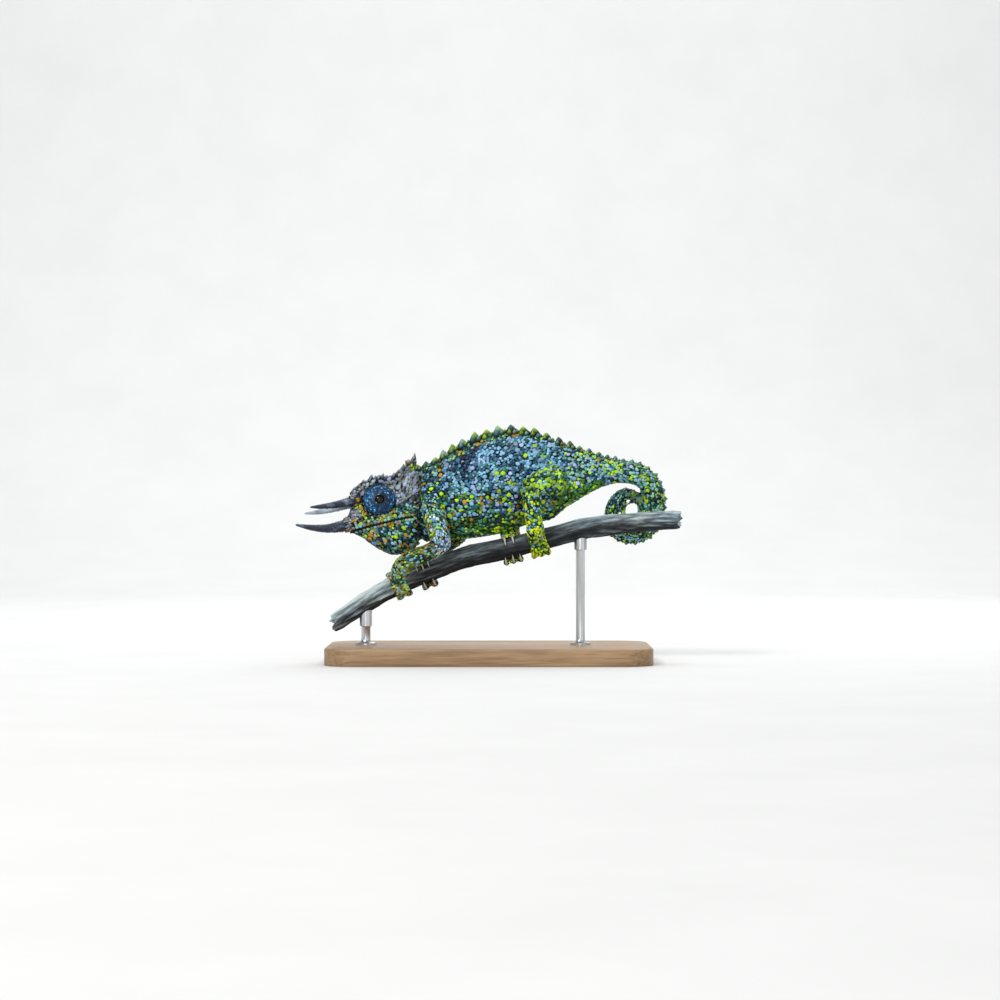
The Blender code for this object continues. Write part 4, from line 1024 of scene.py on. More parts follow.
def makeCoat(name, look):
    keep = skinQuads[hideZone[skinQuads[:, 0]] == list(coats).index(name)]
    used, faces = np.unique(keep, return_inverse=True)
    coat = meshObject(name, skinPoints[used], faces.reshape(-1, 4))
    storeFloat(coat.data, hideCover[used], "cover")
    storeFloat(coat.data, hideGrow[used], "grow")
    storeVector(coat.data, hideLie[used], "lie")
    wide = 1.0 * mm
    runTree(coat, trees["coat"], {
        "Forms": collections[look["form"]], "Material": hideScales, "Wobble": coatWobble,
        "Tilt": (0.0, -math.radians(look["tilt"]), 0.0), "Spacing": look["spacing"] * wide,
        "Width": look["width"] * wide, "Relief": look["relief"], "Seed": look["seed"],
        "Large spacing": look["largeSpacing"] * wide, "Large width": look["largeWidth"] * wide})
    middle = (look["width"] * 1.18 + look["largeWidth"] * 0.9) / 2 * wide / mm
    slot = "skin_green"
    if "Body" in name or "Neck" in name:
        slot = "skin_blue"
    elif "Tail" in name:
        slot = "skin_tail"
    finishForms(coat, look["form"], casqueScales if name == "coatCasque" else hideScales, slot,
                np.random.default_rng(look["seed"]),
                largeFrom=middle * forms[look["form"]]["length"] ** 0.5)


for coatName, coatLook in coats.items():
    makeCoat(coatName, coatLook)


# dorsal crest, from the neck to the coil

crestRows = [  # station, height and length of a spine, step to the next
    (1.5, 1.6, 3.6, 4.6), (3, 2.6, 4.6, 5.2), (5.5, 3.3, 5.6, 6.2), (7.5, 2.8, 5.2, 5.8),
    (10, 2.0, 3.8, 4.6), (13, 1.4, 3.0, 3.8), (19, 0.9, 2.4, 3.3), (22, 0.6, 2.0, 3.0),
]
crestLook = {"taller": 1.18, "length": 1.16, "width": 0.72, "sink": 0.35, "between": 0.42, "seed": 31,
             "beside": ((-0.2, 1.5, 0.55, 0.42), (0.3, 1.4, 0.5, 0.4))}  # along, aside, height, width


def makeCrest():
    at = np.linspace(0, len(axisRows) - 1, 40 * len(axisRows))
    path = np.array([rowAt(axisRows, t)[:3] for t in at])
    lengths = lengthsAlong(path)
    crest = np.array(crestRows)
    rng = np.random.default_rng(crestLook["seed"])
    placed = []

    def add(travelled, aside, height, length, width):
        t = np.interp(travelled, lengths, at)
        middle, tangent, up, side = frameAt(axisRows, t)
        reach = rowAt(axisRows, t)
        top = reach[3] * (1 - min(abs(aside) / reach[5], 1) ** reach[6]) ** (1 / reach[6])
        root = middle + shift + up * (top - 0.3 - crestLook["sink"]) + side * aside
        aim = up + side * 0.25 * aside + rng.normal(0, 0.04, 3)
        placed.append((root, aim, tangent, (length / 2 / forms["spine"]["length"], width / 2,
                                            height + crestLook["sink"])))

    travelled, count = np.interp(crestRows[0][0], at, lengths), 0
    while travelled < np.interp(crestRows[-1][0], at, lengths):
        t = np.interp(travelled, lengths, at)
        height, length, step = (np.interp(t, crest[:, 0], crest[:, k]) for k in (1, 2, 3))
        tall = height * (1 + 0.14 * math.sin(2.4 * count)) * crestLook["taller"]
        add(travelled, 0.0, tall, length * crestLook["length"], length * crestLook["width"])
        for side in (-1, 1):
            for along, aside, share, width in crestLook["beside"]:
                add(travelled + along * length, side * aside, tall * share, length * share, length * width)
        forward = step * (1 + 0.06 * math.sin(1.7 * count))
        between = crestLook["between"]
        add(travelled + forward * 0.5, 0.0, tall * between, length * 0.5, length * between)
        travelled += forward
        count += 1
    piece, roots = placeForms("crest", "spine", placed, (0.05, 0.08, 0.15))
    base = paint(roots, labelPoints(roots), rng) * 0.6
    tips = drawn(rng, len(roots), lime=30, mint=25, sea=20, sky=10, leaf=15) * 0.8
    finishForms(piece, "spine", hideScales, "skin_blue", rng, base, tips)


makeCrest()


# head: brow and casque plates, lips and nostrils

browLine = [  # brow and casque ridge in the head's own frame: x, y, z
    (1.5, 3.4, 15.6), (3.0, 4.2, 17.0), (7.5, 5.4, 20.2), (12.5, 6.0, 22.6), (17.5, 6.0, 23.6),
    (22.5, 5.6, 23.6), (27.0, 4.6, 26.6), (31.0, 3.2, 30.2), (35.2, 1.2, 33.6),
]
headLook = {"browPlates": 21, "browTall": ((0, 3, 5, 8), (1.7, 2.9, 2.3, 3.5)),
            "browWide": ((0, 4, 8), (0.95, 1.25, 1.3)), "lipStep": 1.75, "lipOffset": 1.22,
            "lipPlate": (1.02, 0.84, 1.05), "lipEnd": 34, "seed": 41}
plateRows = {  # count, first place and step in x and z, and size of the plates in a row
    "temple": (11, (25.4, 11.0), (1.15, 0.78), (1.15, 0.9, 1.5)),
    "rearEdge": (7, (36.2, 2.0), (-0.1, 3.6), (1.0, 0.8, 1.1)),
}
down = np.array([0.0, 0.0, -1.0])


def makeRidges():
    rng = np.random.default_rng(headLook["seed"])
    placed = []

    def add(start, direction, aim, lie, girth):
        point, _ = ontoSkin(fromHead(start), headSpin @ direction)
        if point is not None:
            aim = headSpin @ unit(np.array(aim, float))
            placed.append((point - aim * 0.3, aim, headSpin @ lie, girth))

    for side in (-1, 1):
        mirror = np.array([1.0, side, 1.0])
        for k in range(headLook["browPlates"]):
            t = 0.1 + k * (len(browLine) - 1.15) / (headLook["browPlates"] - 1)
            place = rowAt(browLine, t)
            along = unit(rowAt(browLine, t + 0.05) - rowAt(browLine, t - 0.05)) * mirror
            tall = np.interp(t, *headLook["browTall"]) * (1 + 0.22 * math.sin(2.1 * k + side))
            width = np.interp(t, *headLook["browWide"]) * rng.uniform(0.85, 1.1)
            add((place + (0, 0.3, 8)) * mirror, down, (0.12, 0.4 * side, 1.0), along,
                (width, width * 0.8, tall))
            add((place + (0, 1.9, 8)) * mirror, down, (0.1, 0.75 * side, 0.8), along,
                (width, width * 0.8, tall * 0.6))
        inward = np.array([0.0, -side, 0.0])
        for row, aim, lie in (("temple", (0.15, side, 0.35), (1, 0, 0.6)),
                              ("rearEdge", (0.5, side, 0.1), (0.6, 0, 1))):
            count, first, step, size = plateRows[row]
            for k in range(count):
                start = (first[0] + k * step[0], side * clearOfHead, first[1] + k * step[1])
                add(start, inward, aim, lie, size)
    for k in range(9):  # middle of the casque
        add((20.5 + 1.75 * k, 0.0, 46.0), down, (0.2, 0, 1), (1, 0, 0.5), (1.1, 0.9, 1.3 + 0.14 * k))
    piece, roots = placeForms("casquePlates", "cone", placed, (0.08, 0.08, 0.3))
    base = drawn(rng, len(roots), slate=40, grey=50, ochre=10) * 0.7
    tips = drawn(rng, len(roots), ash=45, grey=35, lilac=12, ochre=8)
    finishForms(piece, "cone", casqueScales, "skin_green", rng, base, tips)


def makeLips():
    rng = np.random.default_rng(headLook["seed"] + 1)
    placed = []
    line = np.array(mouthLine)
    for side in (-1, 1):
        for way in (1, -1):
            x = 1.2
            while x < headLook["lipEnd"]:
                middle = np.interp(x, line[:, 0], line[:, 1])
                slope = np.interp(x + 1, line[:, 0], line[:, 1]) - middle
                point, normal = besideHead(x, middle + way * headLook["lipOffset"], side)
                if point is not None:
                    placed.append((point - normal * 0.15, normal, headSpin @ (1.0, 0.0, slope),
                                   headLook["lipPlate"]))
                x += headLook["lipStep"] * (1 + 0.08 * math.sin(3.1 * x))
    piece, roots = placeForms("lipPlates", "plate", placed, (0.06, 0.06, 0.08))
    colours = drawn(rng, len(roots), ochre=30, mint=20, sea=15, grey=15, sky=10, leaf=10)
    finishForms(piece, "plate", hideScales, "skin_green", rng,
                colours * rng.uniform(0.7, 1.1, (len(roots), 1)))


def makeNostrils():  # a small oval pit with a raised rim on each side of the snout
    material, tree, shader = newMaterial("nostrilHide", 0.6)
    tone = ramp(tree, objectNoise(tree, 900.0), (0.35, (0.020, 0.023, 0.027)), (0.7, (0.10, 0.11, 0.13)))
    setColour(tree, shader, tone)
    parts = []
    angles = fullTurn(24)
    for side in (-1, 1):
        middle, normal = besideHead(nostrilLook["x"], nostrilLook["z"], side)
        along = unit(np.cross(np.cross(normal, headSpin @ (1.0, 0.0, 0.45)), normal))
        across = np.cross(normal, along)
        rings = []
        for share, rise in nostrilLook["profile"]:
            reach = share * nostrilLook["radius"]
            oval = np.outer(np.cos(angles), along) * nostrilLook["long"] + np.outer(np.sin(angles), across)
            rings.append(middle + oval * reach + normal * (rise - 0.1))
        parts.append(loft("nostril", rings))
    finished(joined("nostrils", parts), material, "skin_green")


makeRidges()
makeLips()
makeNostrils()


# horns

horns = {  # in the head's own frame: x, y, z, radius
    "horn_nose": [(4.5, 0.0, 2.4, 3.4), (0.5, 0.0, 1.4, 3.3), (-3.6, 0.0, 0.3, 2.9),
                  (-11.0, 0.0, -0.7, 2.2), (-18.8, 0.0, -0.2, 1.5), (-26.3, 0.0, 1.2, 0.6)],
    "horn_left": [(6.6, -3.8, 14.4, 2.6), (3.8, -4.5, 13.5, 2.6), (-1.2, -5.2, 12.2, 2.2),
                  (-7.7, -5.9, 10.9, 1.7), (-14.0, -6.5, 10.1, 1.2), (-19.4, -6.9, 9.8, 0.5)],
    "horn_right": [(6.6, 3.8, 14.4, 2.6), (3.8, 4.5, 13.3, 2.6), (-1.4, 5.2, 11.6, 2.2),
                   (-8.2, 5.9, 9.7, 1.7), (-15.0, 6.5, 8.3, 1.2), (-21.4, 6.9, 7.6, 0.5)],
}
hornLook = {"rings": 110, "sides": 28, "ribs": 1.25, "ribHeight": 0.06, "dents": 0.05, "seed": 43,
            "collars": ((1.35, 15, 0.85), (1.08, 17, 0.95), (0.8, 17, 0.95)),  # station, count, size
            "near": [(0.35, (0.003, 0.005, 0.013)), (0.54, (0.009, 0.014, 0.034)),
                     (0.64, (0.07, 0.10, 0.16)), (0.80, (0.30, 0.38, 0.48))],
            # far: a paler copy of the horn colours for the far horn, painted haze of distance
            "far": [(0.25, (0.07, 0.09, 0.13)), (0.5, (0.24, 0.30, 0.37)), (0.75, (0.50, 0.60, 0.68))]}


def hornMaterial(name, stops):
    material, tree, shader = newMaterial(name, 0.5, Specular_IOR_Level=0.45)
    blotch = objectNoise(tree, 330.0, 4.0, (0.6, 1.0, 1.0))
    setColour(tree, shader, ramp(tree, blotch, *stops))
    addBump(tree, shader, objectNoise(tree, 1500.0, 4.0, (1.0, 0.4, 0.4)), 0.55, 0.0003)
    return material


def makeHorn(name, node, material):
    table = np.array(horns[node])
    last = len(table) - 1
    at = np.linspace(0, last, hornLook["rings"])
    centres = np.array([rowAt(table, t) for t in at])
    travelled = lengthsAlong(centres[:, :3])
    angles = fullTurn(hornLook["sides"])
    rings = []
    for t, row, s in zip(at, centres, travelled):
        _, _, up, side = frameAt(table, t)
        fade = np.clip((last - t) * 1.2, 0.15, 1) * min(t * 1.5 + 0.3, 1)
        phase = s * 2 * math.pi / hornLook["ribs"] + 0.7 * np.sin(2 * angles + s * 0.35)
        phase = phase + 0.5 * math.sin(s * 0.9)
        spokes = (np.outer(np.cos(angles), up) + np.outer(np.sin(angles), side)) * row[3]
        dents = waves(row[:3] + spokes, 2.2, 51)
        radius = 1 + (hornLook["ribHeight"] * np.sin(phase) + hornLook["dents"] * dents) * fade
        rings.append(fromHead(row[:3] + spokes * radius[:, None]))
    tip = fromHead(centres[-1, :3] + frameAt(table, last)[1] * table[-1, 3])
    finished(loft(name, rings, endTip=tip), material, "horn", node)


nearHorn = hornMaterial("hornDark", hornLook["near"])
# the far horn's paler copy of the horn material: painted haze
farHorn = hornMaterial("hornPaintedHaze", hornLook["far"])
makeHorn("noseHorn", "horn_nose", nearHorn)
makeHorn("leftHorn", "horn_left", nearHorn)
makeHorn("rightHorn", "horn_right", farHorn)


def makeHornCollars():
    rng = np.random.default_rng(hornLook["seed"])
    placed = []
    for rows in horns.values():
        table = np.array(rows)
        for t, count, girth in hornLook["collars"]:
            row = rowAt(table, t)
            _, tangent, up, side = frameAt(table, t)
            for k in range(count):
                angle = 2 * math.pi * (k + 0.5 * (t < 1.2)) / count
                out = up * math.cos(angle) + side * math.sin(angle)
                point = fromHead(row[:3] + out * (row[3] + 0.15))
                near = skinTree.find_nearest(Vector(point * mm))
                if abs((point - np.array(near[0]) / mm) @ np.array(near[1])) < 1.15:
                    placed.append((point, headSpin @ (out - 0.25 * tangent), headSpin @ tangent,
                                   (girth, girth * 0.8, girth * 1.1)))
    piece, roots = placeForms("hornCollars", "leaf", placed, (0.1, 0.1, 0.15))
    finishForms(piece, "leaf", casqueScales, "skin_green", rng,
                drawn(rng, len(roots), grey=35, slate=20, ash=20, ochre=17, rust=8))


makeHornCollars()


# eyes: turret of fused lids round a small opening, and the eyeball

turretLook = {"profile": [(7.3, 4.7), (7.9, 5.2), (8.2, 6.6), (7.8, 8.3), (6.7, 9.75), (5.2, 10.85),
                          (3.8, 11.6), (2.9, 12.0), (2.45, 11.95), (2.2, 11.6), (2.2, 11.1)],
              "ballRadius": 3.4, "ballDepth": 8.2, "room": 0.15, "rows": 11, "bead": 0.5, "seed": 61,
              "rowShade": (0.3, 0.5, 1.2, 1.5, 1.6, 1.4, 1.0, 0.6, 0.3, 0.2, 0.15), "rimDots": 0.14,
              "tint": (0.3, 0.75, 1.0), "pupil": 1.25, "iris": (1.5, 1.7, 1.9)}


def eyePoint(side, radius, depth, angle):
    return fromHead((eyePlace["x"] + math.cos(angle) * radius * eyePlace["long"], side * depth,
                     eyePlace["z"] + math.sin(angle) * radius * eyePlace["tall"]))


def turretMaterial():
    material, tree, shader = newMaterial("turretHide", 0.5)
    tone = ramp(tree, objectNoise(tree, 420.0), (0.35, (0.002, 0.006, 0.018)), (0.7, (0.012, 0.04, 0.085)))
    setColour(tree, shader, tone)
    addBump(tree, shader, objectNoise(tree, 1300.0), 0.5, 0.0003)
    return material


def eyeMaterial():
    material, tree, shader = newMaterial("eyeball", 0.06, Specular_IOR_Level=0.32)
    fromMiddle = maths(tree, "ADD", stored(tree, "fromMiddle"), -0.25)
    fleck = maths(tree, "MULTIPLY_ADD", objectNoise(tree, 1500.0), 0.5, fromMiddle)
    ball = turretLook["ballRadius"]
    inner, middle, outer = (radius / ball for radius in turretLook["iris"])
    black = (0.001, 0.001, 0.001)
    tone = ramp(tree, fleck, (0.0, black), (turretLook["pupil"] / ball, black),
                (inner, (0.034, 0.019, 0.008)), (middle, (0.010, 0.006, 0.003)),
                (outer, (0.002, 0.002, 0.002)))
    setColour(tree, shader, tone)
    return material


def makeEye(side, label, hide, glass):
    angles = fullTurn(72)
    profile = [rowAt(turretLook["profile"], t) for t in np.linspace(0, len(turretLook["profile"]) - 1, 46)]
    reach = turretLook["ballRadius"] + turretLook["room"]
    for turn in np.radians(np.linspace(44, 165, 12)):  # hollow behind the lids, round the eyeball
        profile.append((reach * math.sin(turn), turretLook["ballDepth"] + reach * math.cos(turn)))
    rings = [[eyePoint(side, radius, depth, a) for a in angles] for radius, depth in profile]
    finished(loft("turret" + label, rings), hide, "turret", "turret_" + label.lower())
    ball, away = [], []
    for turn in np.radians(np.linspace(6, 165, 30)):
        radius = turretLook["ballRadius"] * math.sin(turn)
        depth = turretLook["ballDepth"] + turretLook["ballRadius"] * math.cos(turn)
        ball.append([eyePoint(side, radius, depth, a) for a in angles[::2]])
        away += [radius / turretLook["ballRadius"] if turn < 1.5 else 1.0] * 36
    front = eyePoint(side, 0, turretLook["ballDepth"] + turretLook["ballRadius"], 0)
    back = eyePoint(side, 0, turretLook["ballDepth"] - turretLook["ballRadius"], 0)
    eyeball = loft("eyeball" + label, ball, front, back)
    storeFloat(eyeball.data, away + [0.0, 1.0], "fromMiddle")
    finished(eyeball, glass, "eye", "eyeball_" + label.lower())


def makeTurretScales(side, label):
    rng = np.random.default_rng(turretLook["seed"] + side)
    outer = np.array(turretLook["profile"])[1:9][::-1]
    lengths = lengthsAlong(outer)
    outwards = headSpin @ (0.0, side, 0.0)
    placed, rootUv, shades = [], [], []
    for k, s in enumerate(np.linspace(0.25, lengths[-1], turretLook["rows"])):
        here, before, after = (np.array([np.interp(at, lengths, outer[:, i]) for i in (0, 1)])
                               for at in (s, s - 0.2, s + 0.2))
        slope = unit(after - before)
        size = turretLook["bead"] * (0.72 if k == 0 else 1.0 + 0.12 * math.sin(1.9 * k))
        count = int(2 * math.pi * here[0] / (size * 2.15))
        for n in range(count):
            angle = 2 * math.pi * (n + 0.5 * (k % 2)) / count + rng.normal(0, 0.02)
            root = eyePoint(side, *here, angle)
            out = unit(eyePoint(side, here[0] + 1, here[1], angle) - root)
            grow = size * rng.uniform(0.85, 1.15)
            placed.append((root - 0.05 * out, out * -slope[1] + outwards * slope[0],
                           np.cross(outwards, out), (grow * 1.1, grow * 0.9, grow)))
            spread = 0.06 + 0.4 * s / lengths[-1]
            rootUv.append((0.5 + spread * math.cos(angle), 0.5 + spread * math.sin(angle)))
            shades.append(turretLook["rowShade"][k])
    piece, roots = placeForms("turretScales" + label, "bead", placed, (0.08, 0.08, 0.2))
    colours = drawn(rng, len(roots), navy=46, teal=14, blue=24, sky=13, pale=3) * np.array(shades)[:, None]
    colours *= turretLook["tint"]
    dots = (rng.uniform(0, 1, len(roots)) < turretLook["rimDots"]) & (np.array(shades) < 0.4)
    colours[dots] = hueTable[hueNames.index("sky")]
    finishForms(piece, "bead", hideScales, "turret", rng, np.clip(colours, 0.002, 0.8),
                rootUv=np.array(rootUv))


turretHide = turretMaterial()
eyeGlass = eyeMaterial()
for eyeSide, eyeLabel in ((-1, "Left"), (1, "Right")):
    makeEye(eyeSide, eyeLabel, turretHide, eyeGlass)
    makeTurretScales(eyeSide, eyeLabel)


# claws

def clawMaterial():
    material, tree, shader = newMaterial("clawHorn", 0.38)
    tone = ramp(tree, stored(tree, "rise"), (0.0, (0.10, 0.12, 0.09)), (0.3, (0.36, 0.36, 0.30)),
                (0.8, (0.62, 0.60, 0.52)), (1.0, (0.30, 0.27, 0.22)))
    streak = ramp(tree, objectNoise(tree, 1100.0), (0.3, (0.75, 0.75, 0.75)), (0.7, (1.1, 1.1, 1.1)))
    setColour(tree, shader, tone, streak)
    addBump(tree, shader, objectNoise(tree, 1700.0), 0.25, 0.0002)
    return material


def makeClaws():
    turns = fullTurn(clawLook["sides"])
    parts = []
    for middles, sizes, outs, tangent in clawLines:
        rings = [middle + (np.outer(np.cos(turns), out) + np.outer(np.sin(turns), tangent) * 0.78) * size
                 for middle, size, out in zip(middles, sizes, outs)]
        parts.append(loft("claw", rings))
    claws = joined("claws", parts)
    storeFloat(claws.data, np.tile(np.repeat(np.linspace(0, 1, clawLook["rings"]), clawLook["sides"]),
                                   len(clawLines)), "rise")
    finished(claws, clawMaterial(), "horn")
    print("claws:", len(clawLines))


makeClaws()


# branch

barkLook = {"rings": 300, "sides": 56, "furrow": 0.32, "lump": 0.16, "ragged": 1.5, "endLength": 4.0,
            "endTaper": 0.12, "torn": ((0.8, -0.6), (0.55, 0.2), (0.3, -0.9)),  # share of radius, depth
            # light: painted shadow along the branch, darkest under the animal's body
            "light": [(-80, 1.3), (-50, 1.2), (-33, 0.6), (20, 0.52), (40, 0.85), (99, 1.0)]}


def barkMaterial():
    material, tree, shader = newMaterial("barkGrey", 0.82, Specular_IOR_Level=0.3)
    grain = stored(tree, "grain", "Vector")
    streaks = objectNoise(tree, 260.0, 6.0, (0.16, 1.0, 1.0), grain)
    fibres = objectNoise(tree, 1500.0, 4.0, (0.12, 1.0, 1.0), grain)
    # tone carries the painted light and shade of the bark
    blend = maths(tree, "MULTIPLY_ADD", stored(tree, "tone"), 1.1, -0.6)
    blend = maths(tree, "MULTIPLY_ADD", streaks, 0.8, blend)
    blend = maths(tree, "MULTIPLY_ADD", fibres, 0.45, blend)
    colour = ramp(tree, blend, (0.05, (0.004, 0.005, 0.008)), (0.25, (0.020, 0.024, 0.028)),
                  (0.45, (0.075, 0.096, 0.108)), (0.66, (0.18, 0.245, 0.275)), (0.9, (0.40, 0.50, 0.54)))
    brown = ramp(tree, objectNoise(tree, 28.0), (0.45, (1.0, 1.0, 1.0)), (0.65, (1.15, 1.0, 0.88)))
    setColour(tree, shader, colour, brown)
    rough = maths(tree, "MULTIPLY_ADD", fibres, 0.7, objectNoise(tree, 480.0, 6.0, (0.35, 1.0, 1.0), grain))
    addBump(tree, shader, rough, 0.6, 0.0005)
    return material


def grainAt(point):  # place along and across the branch
    middle, _, up, _ = branchAt(point[0] - shiftX)
    return point[0] * mm, (point - middle) @ up * mm, point[1] * mm


def barkRing(x, angles, fromEnd):  # one ring of the bark and its painted light and shade
    middle, tangent, up, radius = branchAt(x)
    place = np.column_stack([np.full(len(angles), x * 0.09), np.cos(angles) * 5, np.sin(angles) * 5])
    furrows = np.abs(waves(place, 2.1, 72)) + 0.5 * np.abs(waves(place * (2.2, 1, 1), 1.2, 73))
    reach = radius + 0.2 * np.sin(3 * angles + 0.11 * x) * np.sin(0.23 * x + angles) + 0.1
    lumps = barkLook["lump"] * waves(place * (1, 0.6, 0.6), 5.0, 74)
    reach += lumps - barkLook["furrow"] * (0.8 - furrows)
    endness = max(0.0, 1 - fromEnd / barkLook["endLength"])
    reach *= 1 - barkLook["endTaper"] * endness**2
    slip = waves(place * (0, 1, 1), 2.2, 75) * barkLook["ragged"] * endness
    out = np.outer(np.cos(angles), up) + np.outer(np.sin(angles), sideAxis)
    light = np.interp(x, *zip(*barkLook["light"]))
    # painted light and shade: the top of the branch lighter, the furrows darker, all times the painted
    # shadow along the branch
    paintedLightTones = (0.55 * (0.5 + 0.5 * np.cos(angles - 0.35)) + 0.3 * furrows) * light
    return middle + out * reach[:, None] + np.outer(slip, tangent), paintedLightTones


def makeBranch():
    first, last, sides = branchLine[0][0], branchLine[-1][0], barkLook["sides"]
    points, paintedLightTones = [], []
    for x in np.linspace(first, last, barkLook["rings"]):
        ring, tone = barkRing(x, fullTurn(sides), min(x - first, last - x))
        points += list(ring)
        paintedLightTones += list(tone)
    faces = ringFaces(barkLook["rings"], sides)
    for x, way, before in ((first, -1.0, 0), (last, 1.0, len(points) - sides)):  # torn ends
        middle, tangent, _, _ = branchAt(x)
        rim = np.array(points[before:before + sides])
        for share, sink in barkLook["torn"]:
            jag = waves(rim * share, 1.6, 76) * 0.5
            start = len(points)
            points += list(middle + (rim - middle) * share + np.outer(way * sink + jag, tangent))
            paintedLightTones += [0.75] * sides
            faces += [(before + k, before + (k + 1) % sides, start + (k + 1) % sides, start + k)
                      for k in range(sides)]
            before = start
        points.append(middle - tangent * way * 0.6)
        paintedLightTones.append(0.6)
        faces += [(before + k, before + (k + 1) % sides, len(points) - 1) for k in range(sides)]
    branch = outward(meshObject("branchBark", points, faces))
    storeFloat(branch.data, paintedLightTones, "tone")
    storeVector(branch.data, [grainAt(np.array(point)) for point in points], "grain")
    finished(branch, barkMaterial(), "bark", "branch")


makeBranch()
print("branch")


# stand: a wooden base and two steel rods

baseLook = {"long": 168.0, "wide": 88.0, "thick": 9.0, "corner": 16.0, "bevel": 1.4}
rodLook = {"x": {"stand_rod_front": -64.0, "stand_rod_rear": 47.5}, "radius": 2.4, "foot": 5.4, "cup": 3.3,
           "cupTall": 4.2}


def makeBase():
    corner, thick, bevel = baseLook["corner"], baseLook["thick"], baseLook["bevel"]
    outline = []
    for signX, signY, start in ((1, 1, 0), (-1, 1, 90), (-1, -1, 180), (1, -1, 270)):
        for turn in np.radians(np.linspace(start, start + 90, 14)):
            outline.append((signX * (baseLook["long"] / 2 - corner) + math.cos(turn) * corner,
                            signY * (baseLook["wide"] / 2 - corner) + math.sin(turn) * corner))
    outline = np.array(outline)
    inward = outline / np.array([baseLook["long"] / 2, baseLook["wide"] / 2])
    levels = [(0.0, 0.5), (0.15, 0.15), (0.5, 0.0), (thick - bevel, 0.0)]
    levels += [(thick - bevel * (1 - math.sin(turn)), bevel * (1 - math.cos(turn)))
               for turn in np.radians(np.linspace(15, 90, 6))]
    levels.append((thick, bevel + 0.8))
    rings = []
    for z, inset in levels:
        flat = outline - inward * inset
        rings.append(np.column_stack([flat[:, 0] + shiftX, flat[:, 1], np.full(len(flat), z)]))
    base = loft("standBase", rings)
    base.data.set_sharp_from_angle(angle=math.radians(40))
    material, tree, shader = newMaterial("standOak", 0.42, Specular_IOR_Level=0.4)
    pores = objectNoise(tree, 900.0, 2.0, (0.05, 1.0, 1.0))
    tone = ramp(tree, objectNoise(tree, 90.0, 5.0, (0.12, 1.0, 1.0)), (0.25, (0.20, 0.115, 0.055)),
                (0.5, (0.30, 0.185, 0.095)), (0.75, (0.40, 0.26, 0.14)))
    fine = ramp(tree, pores, (0.35, (0.72, 0.70, 0.68)), (0.6, (1.05, 1.05, 1.05)))
    setColour(tree, shader, tone, fine)
    addBump(tree, shader, pores, 0.12, 0.0002)
    finished(base, material, "stand_wood", "stand_base")


def makeRods():
    material, tree, shader = newMaterial("standSteel", 0.28, Metallic=1.0)
    brushed = objectNoise(tree, 900.0, 3.0, (1.0, 1.0, 0.04))
    setColour(tree, shader, ramp(tree, brushed, (0.3, (0.42, 0.43, 0.44)), (0.7, (0.66, 0.67, 0.68))))
    addBump(tree, shader, brushed, 0.1, 0.0001)
    angles = fullTurn(48)
    rod, foot, cup, low = rodLook["radius"], rodLook["foot"], rodLook["cup"], baseLook["thick"]
    for node, x in rodLook["x"].items():
        middle, tangent, _, radius = branchAt(x)
        under = []  # underside of the branch round the cup's rim
        for a in angles:
            spot = branchAt(x + cup * math.cos(a))[0][2]
            under.append(spot - math.sqrt(radius**2 - (cup * math.sin(a)) ** 2) / tangent[0])
        under = np.array(under)
        start = under.min() - rodLook["cupTall"]
        profile = [(foot, low - 0.1), (foot, low + 0.9), (foot - 0.4, low + 1.3), (rod + 0.7, low + 1.5),
                   (rod + 0.1, low + 2.2), (rod, low + 3.0), (rod, start - 0.6), (rod + 0.2, start - 0.2),
                   (cup, start)]
        profile += [(cup, under - 0.25), (cup - 0.25, under + 0.1), (cup * 0.5, under + 0.2)]
        rings = [np.column_stack([middle[0] + r * np.cos(angles), r * np.sin(angles), z + 0 * angles])
                 for r, z in profile]
        piece = loft("standRod" + node.split("_")[-1].title(), rings)
        piece.data.set_sharp_from_angle(angle=math.radians(35))
        finished(piece, material, "stand_steel", node)


makeBase()
makeRods()
print("stand")


# stage, light and camera

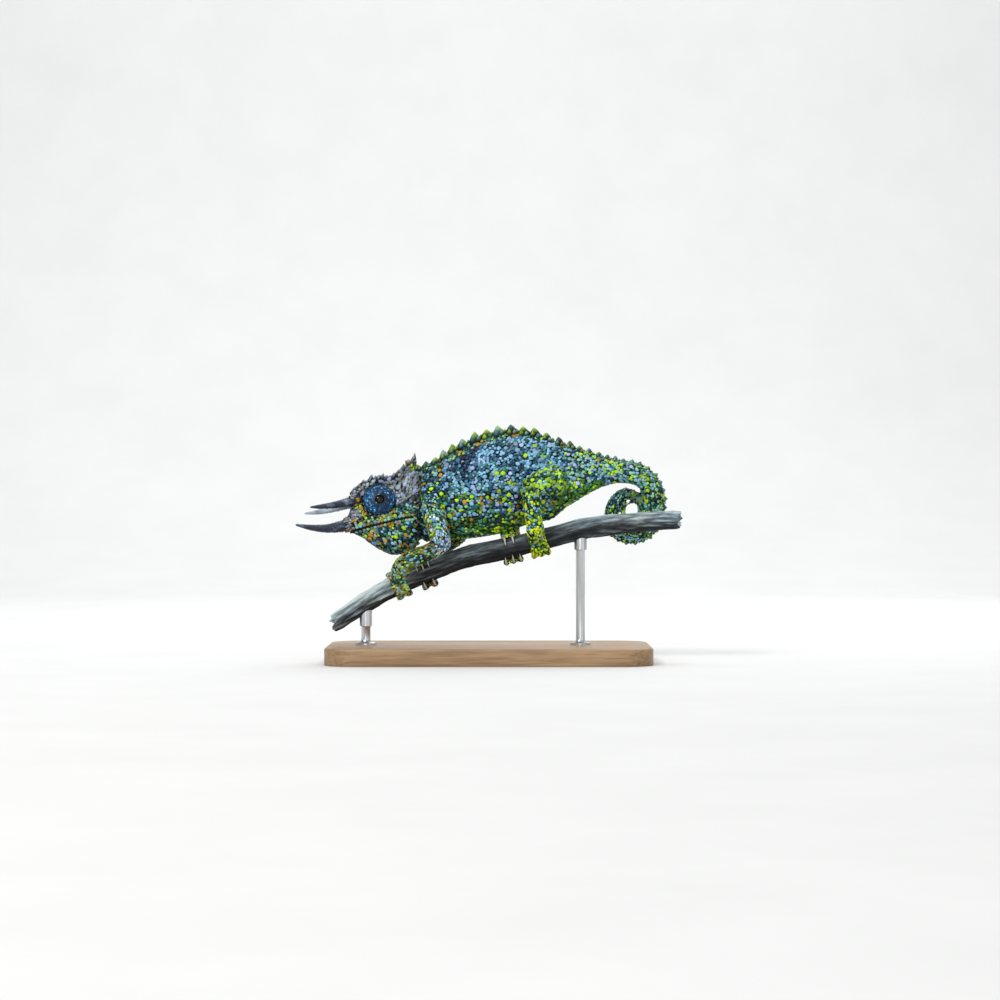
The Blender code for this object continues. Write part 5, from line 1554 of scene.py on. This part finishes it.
stageLook = {"front": -1.2, "depth": 1.6, "width": 3.6, "bend": 0.6, "height": 2.2,
             "sky": (0.97, 0.985, 1.0), "skyStrength": 0.62}
cameraLook = {"wide": 520.0, "x": 5.7, "z": 84.2, "lens": 100.0, "sensor": 36.0}
lights = {  # place, aim, power, size and colour
    "keyLight": ((-0.75, -1.15, 1.15), (0, 0, 0.08), 17.0, 0.45, (1.0, 0.985, 0.96)),
    "fillLight": ((1.1, -1.1, 0.45), (0, 0, 0.08), 2.0, 0.9, (0.95, 0.98, 1.0)),
    "frontLight": ((-0.12, -1.6, 0.24), (0, 0, 0.08), 2.5, 0.45, (1.0, 1.0, 1.0)),
    "backLight": ((0.3, 0.6, 0.9), (0, 0, 0.08), 4.0, 0.6, (1.0, 1.0, 1.0)),
    "wallLight": ((0.0, 0.7, 1.6), (0, 1.6, 0.3), 18.0, 1.2, (1.0, 1.0, 1.0)),
}


def makeStage():
    outline = [(stageLook["front"], 0.0)]
    for turn in np.radians(np.linspace(0, 90, 13)):
        outline.append((stageLook["depth"] - stageLook["bend"] * (1 - math.sin(turn)),
                        stageLook["bend"] * (1 - math.cos(turn))))
    outline.append((stageLook["depth"], stageLook["height"]))
    half, count = stageLook["width"] / 2, len(outline)
    points = [(side * half, y, z) for side in (-1, 1) for y, z in outline]
    faces = [(k, count + k, count + k + 1, k + 1) for k in range(count - 1)]
    stage = meshObject("stage", np.array(points) / mm, faces)
    material, tree, shader = newMaterial("paper", 0.9)
    tint = ramp(tree, objectNoise(tree, 14.0), (0.3, (0.61, 0.615, 0.61)), (0.7, (0.635, 0.64, 0.635)))
    setColour(tree, shader, tint)
    stage.data.materials.append(material)


def makeLights():
    for name, (place, aim, energy, size, colour) in lights.items():
        light = bpy.data.lights.new(name, "AREA")
        light.energy, light.size, light.color = energy, size, colour
        lamp = bpy.data.objects.new(name, light)
        lamp.location = place
        lamp.rotation_euler = (Vector(aim) - Vector(place)).to_track_quat("-Z", "Y").to_euler()
        bpy.context.scene.collection.objects.link(lamp)
    world = bpy.data.worlds.new("studio")
    world.use_nodes = True
    sky = world.node_tree.nodes["Background"].inputs
    sky["Color"].default_value = (*stageLook["sky"], 1)
    sky["Strength"].default_value = stageLook["skyStrength"]
    bpy.context.scene.world = world


def makeCamera():
    camera = bpy.data.cameras.new("camera")
    camera.lens, camera.sensor_width, camera.clip_start = cameraLook["lens"], cameraLook["sensor"], 0.01
    rig = bpy.data.objects.new("camera", camera)
    distance = cameraLook["wide"] * mm * cameraLook["lens"] / cameraLook["sensor"]
    rig.location = ((cameraLook["x"] + shiftX) * mm, -distance, cameraLook["z"] * mm)
    rig.rotation_euler = (math.radians(90), 0, 0)
    bpy.context.scene.collection.objects.link(rig)
    bpy.context.scene.camera = rig


makeStage()
makeLights()
makeCamera()
bpy.context.scene.view_settings.view_transform = "Standard"
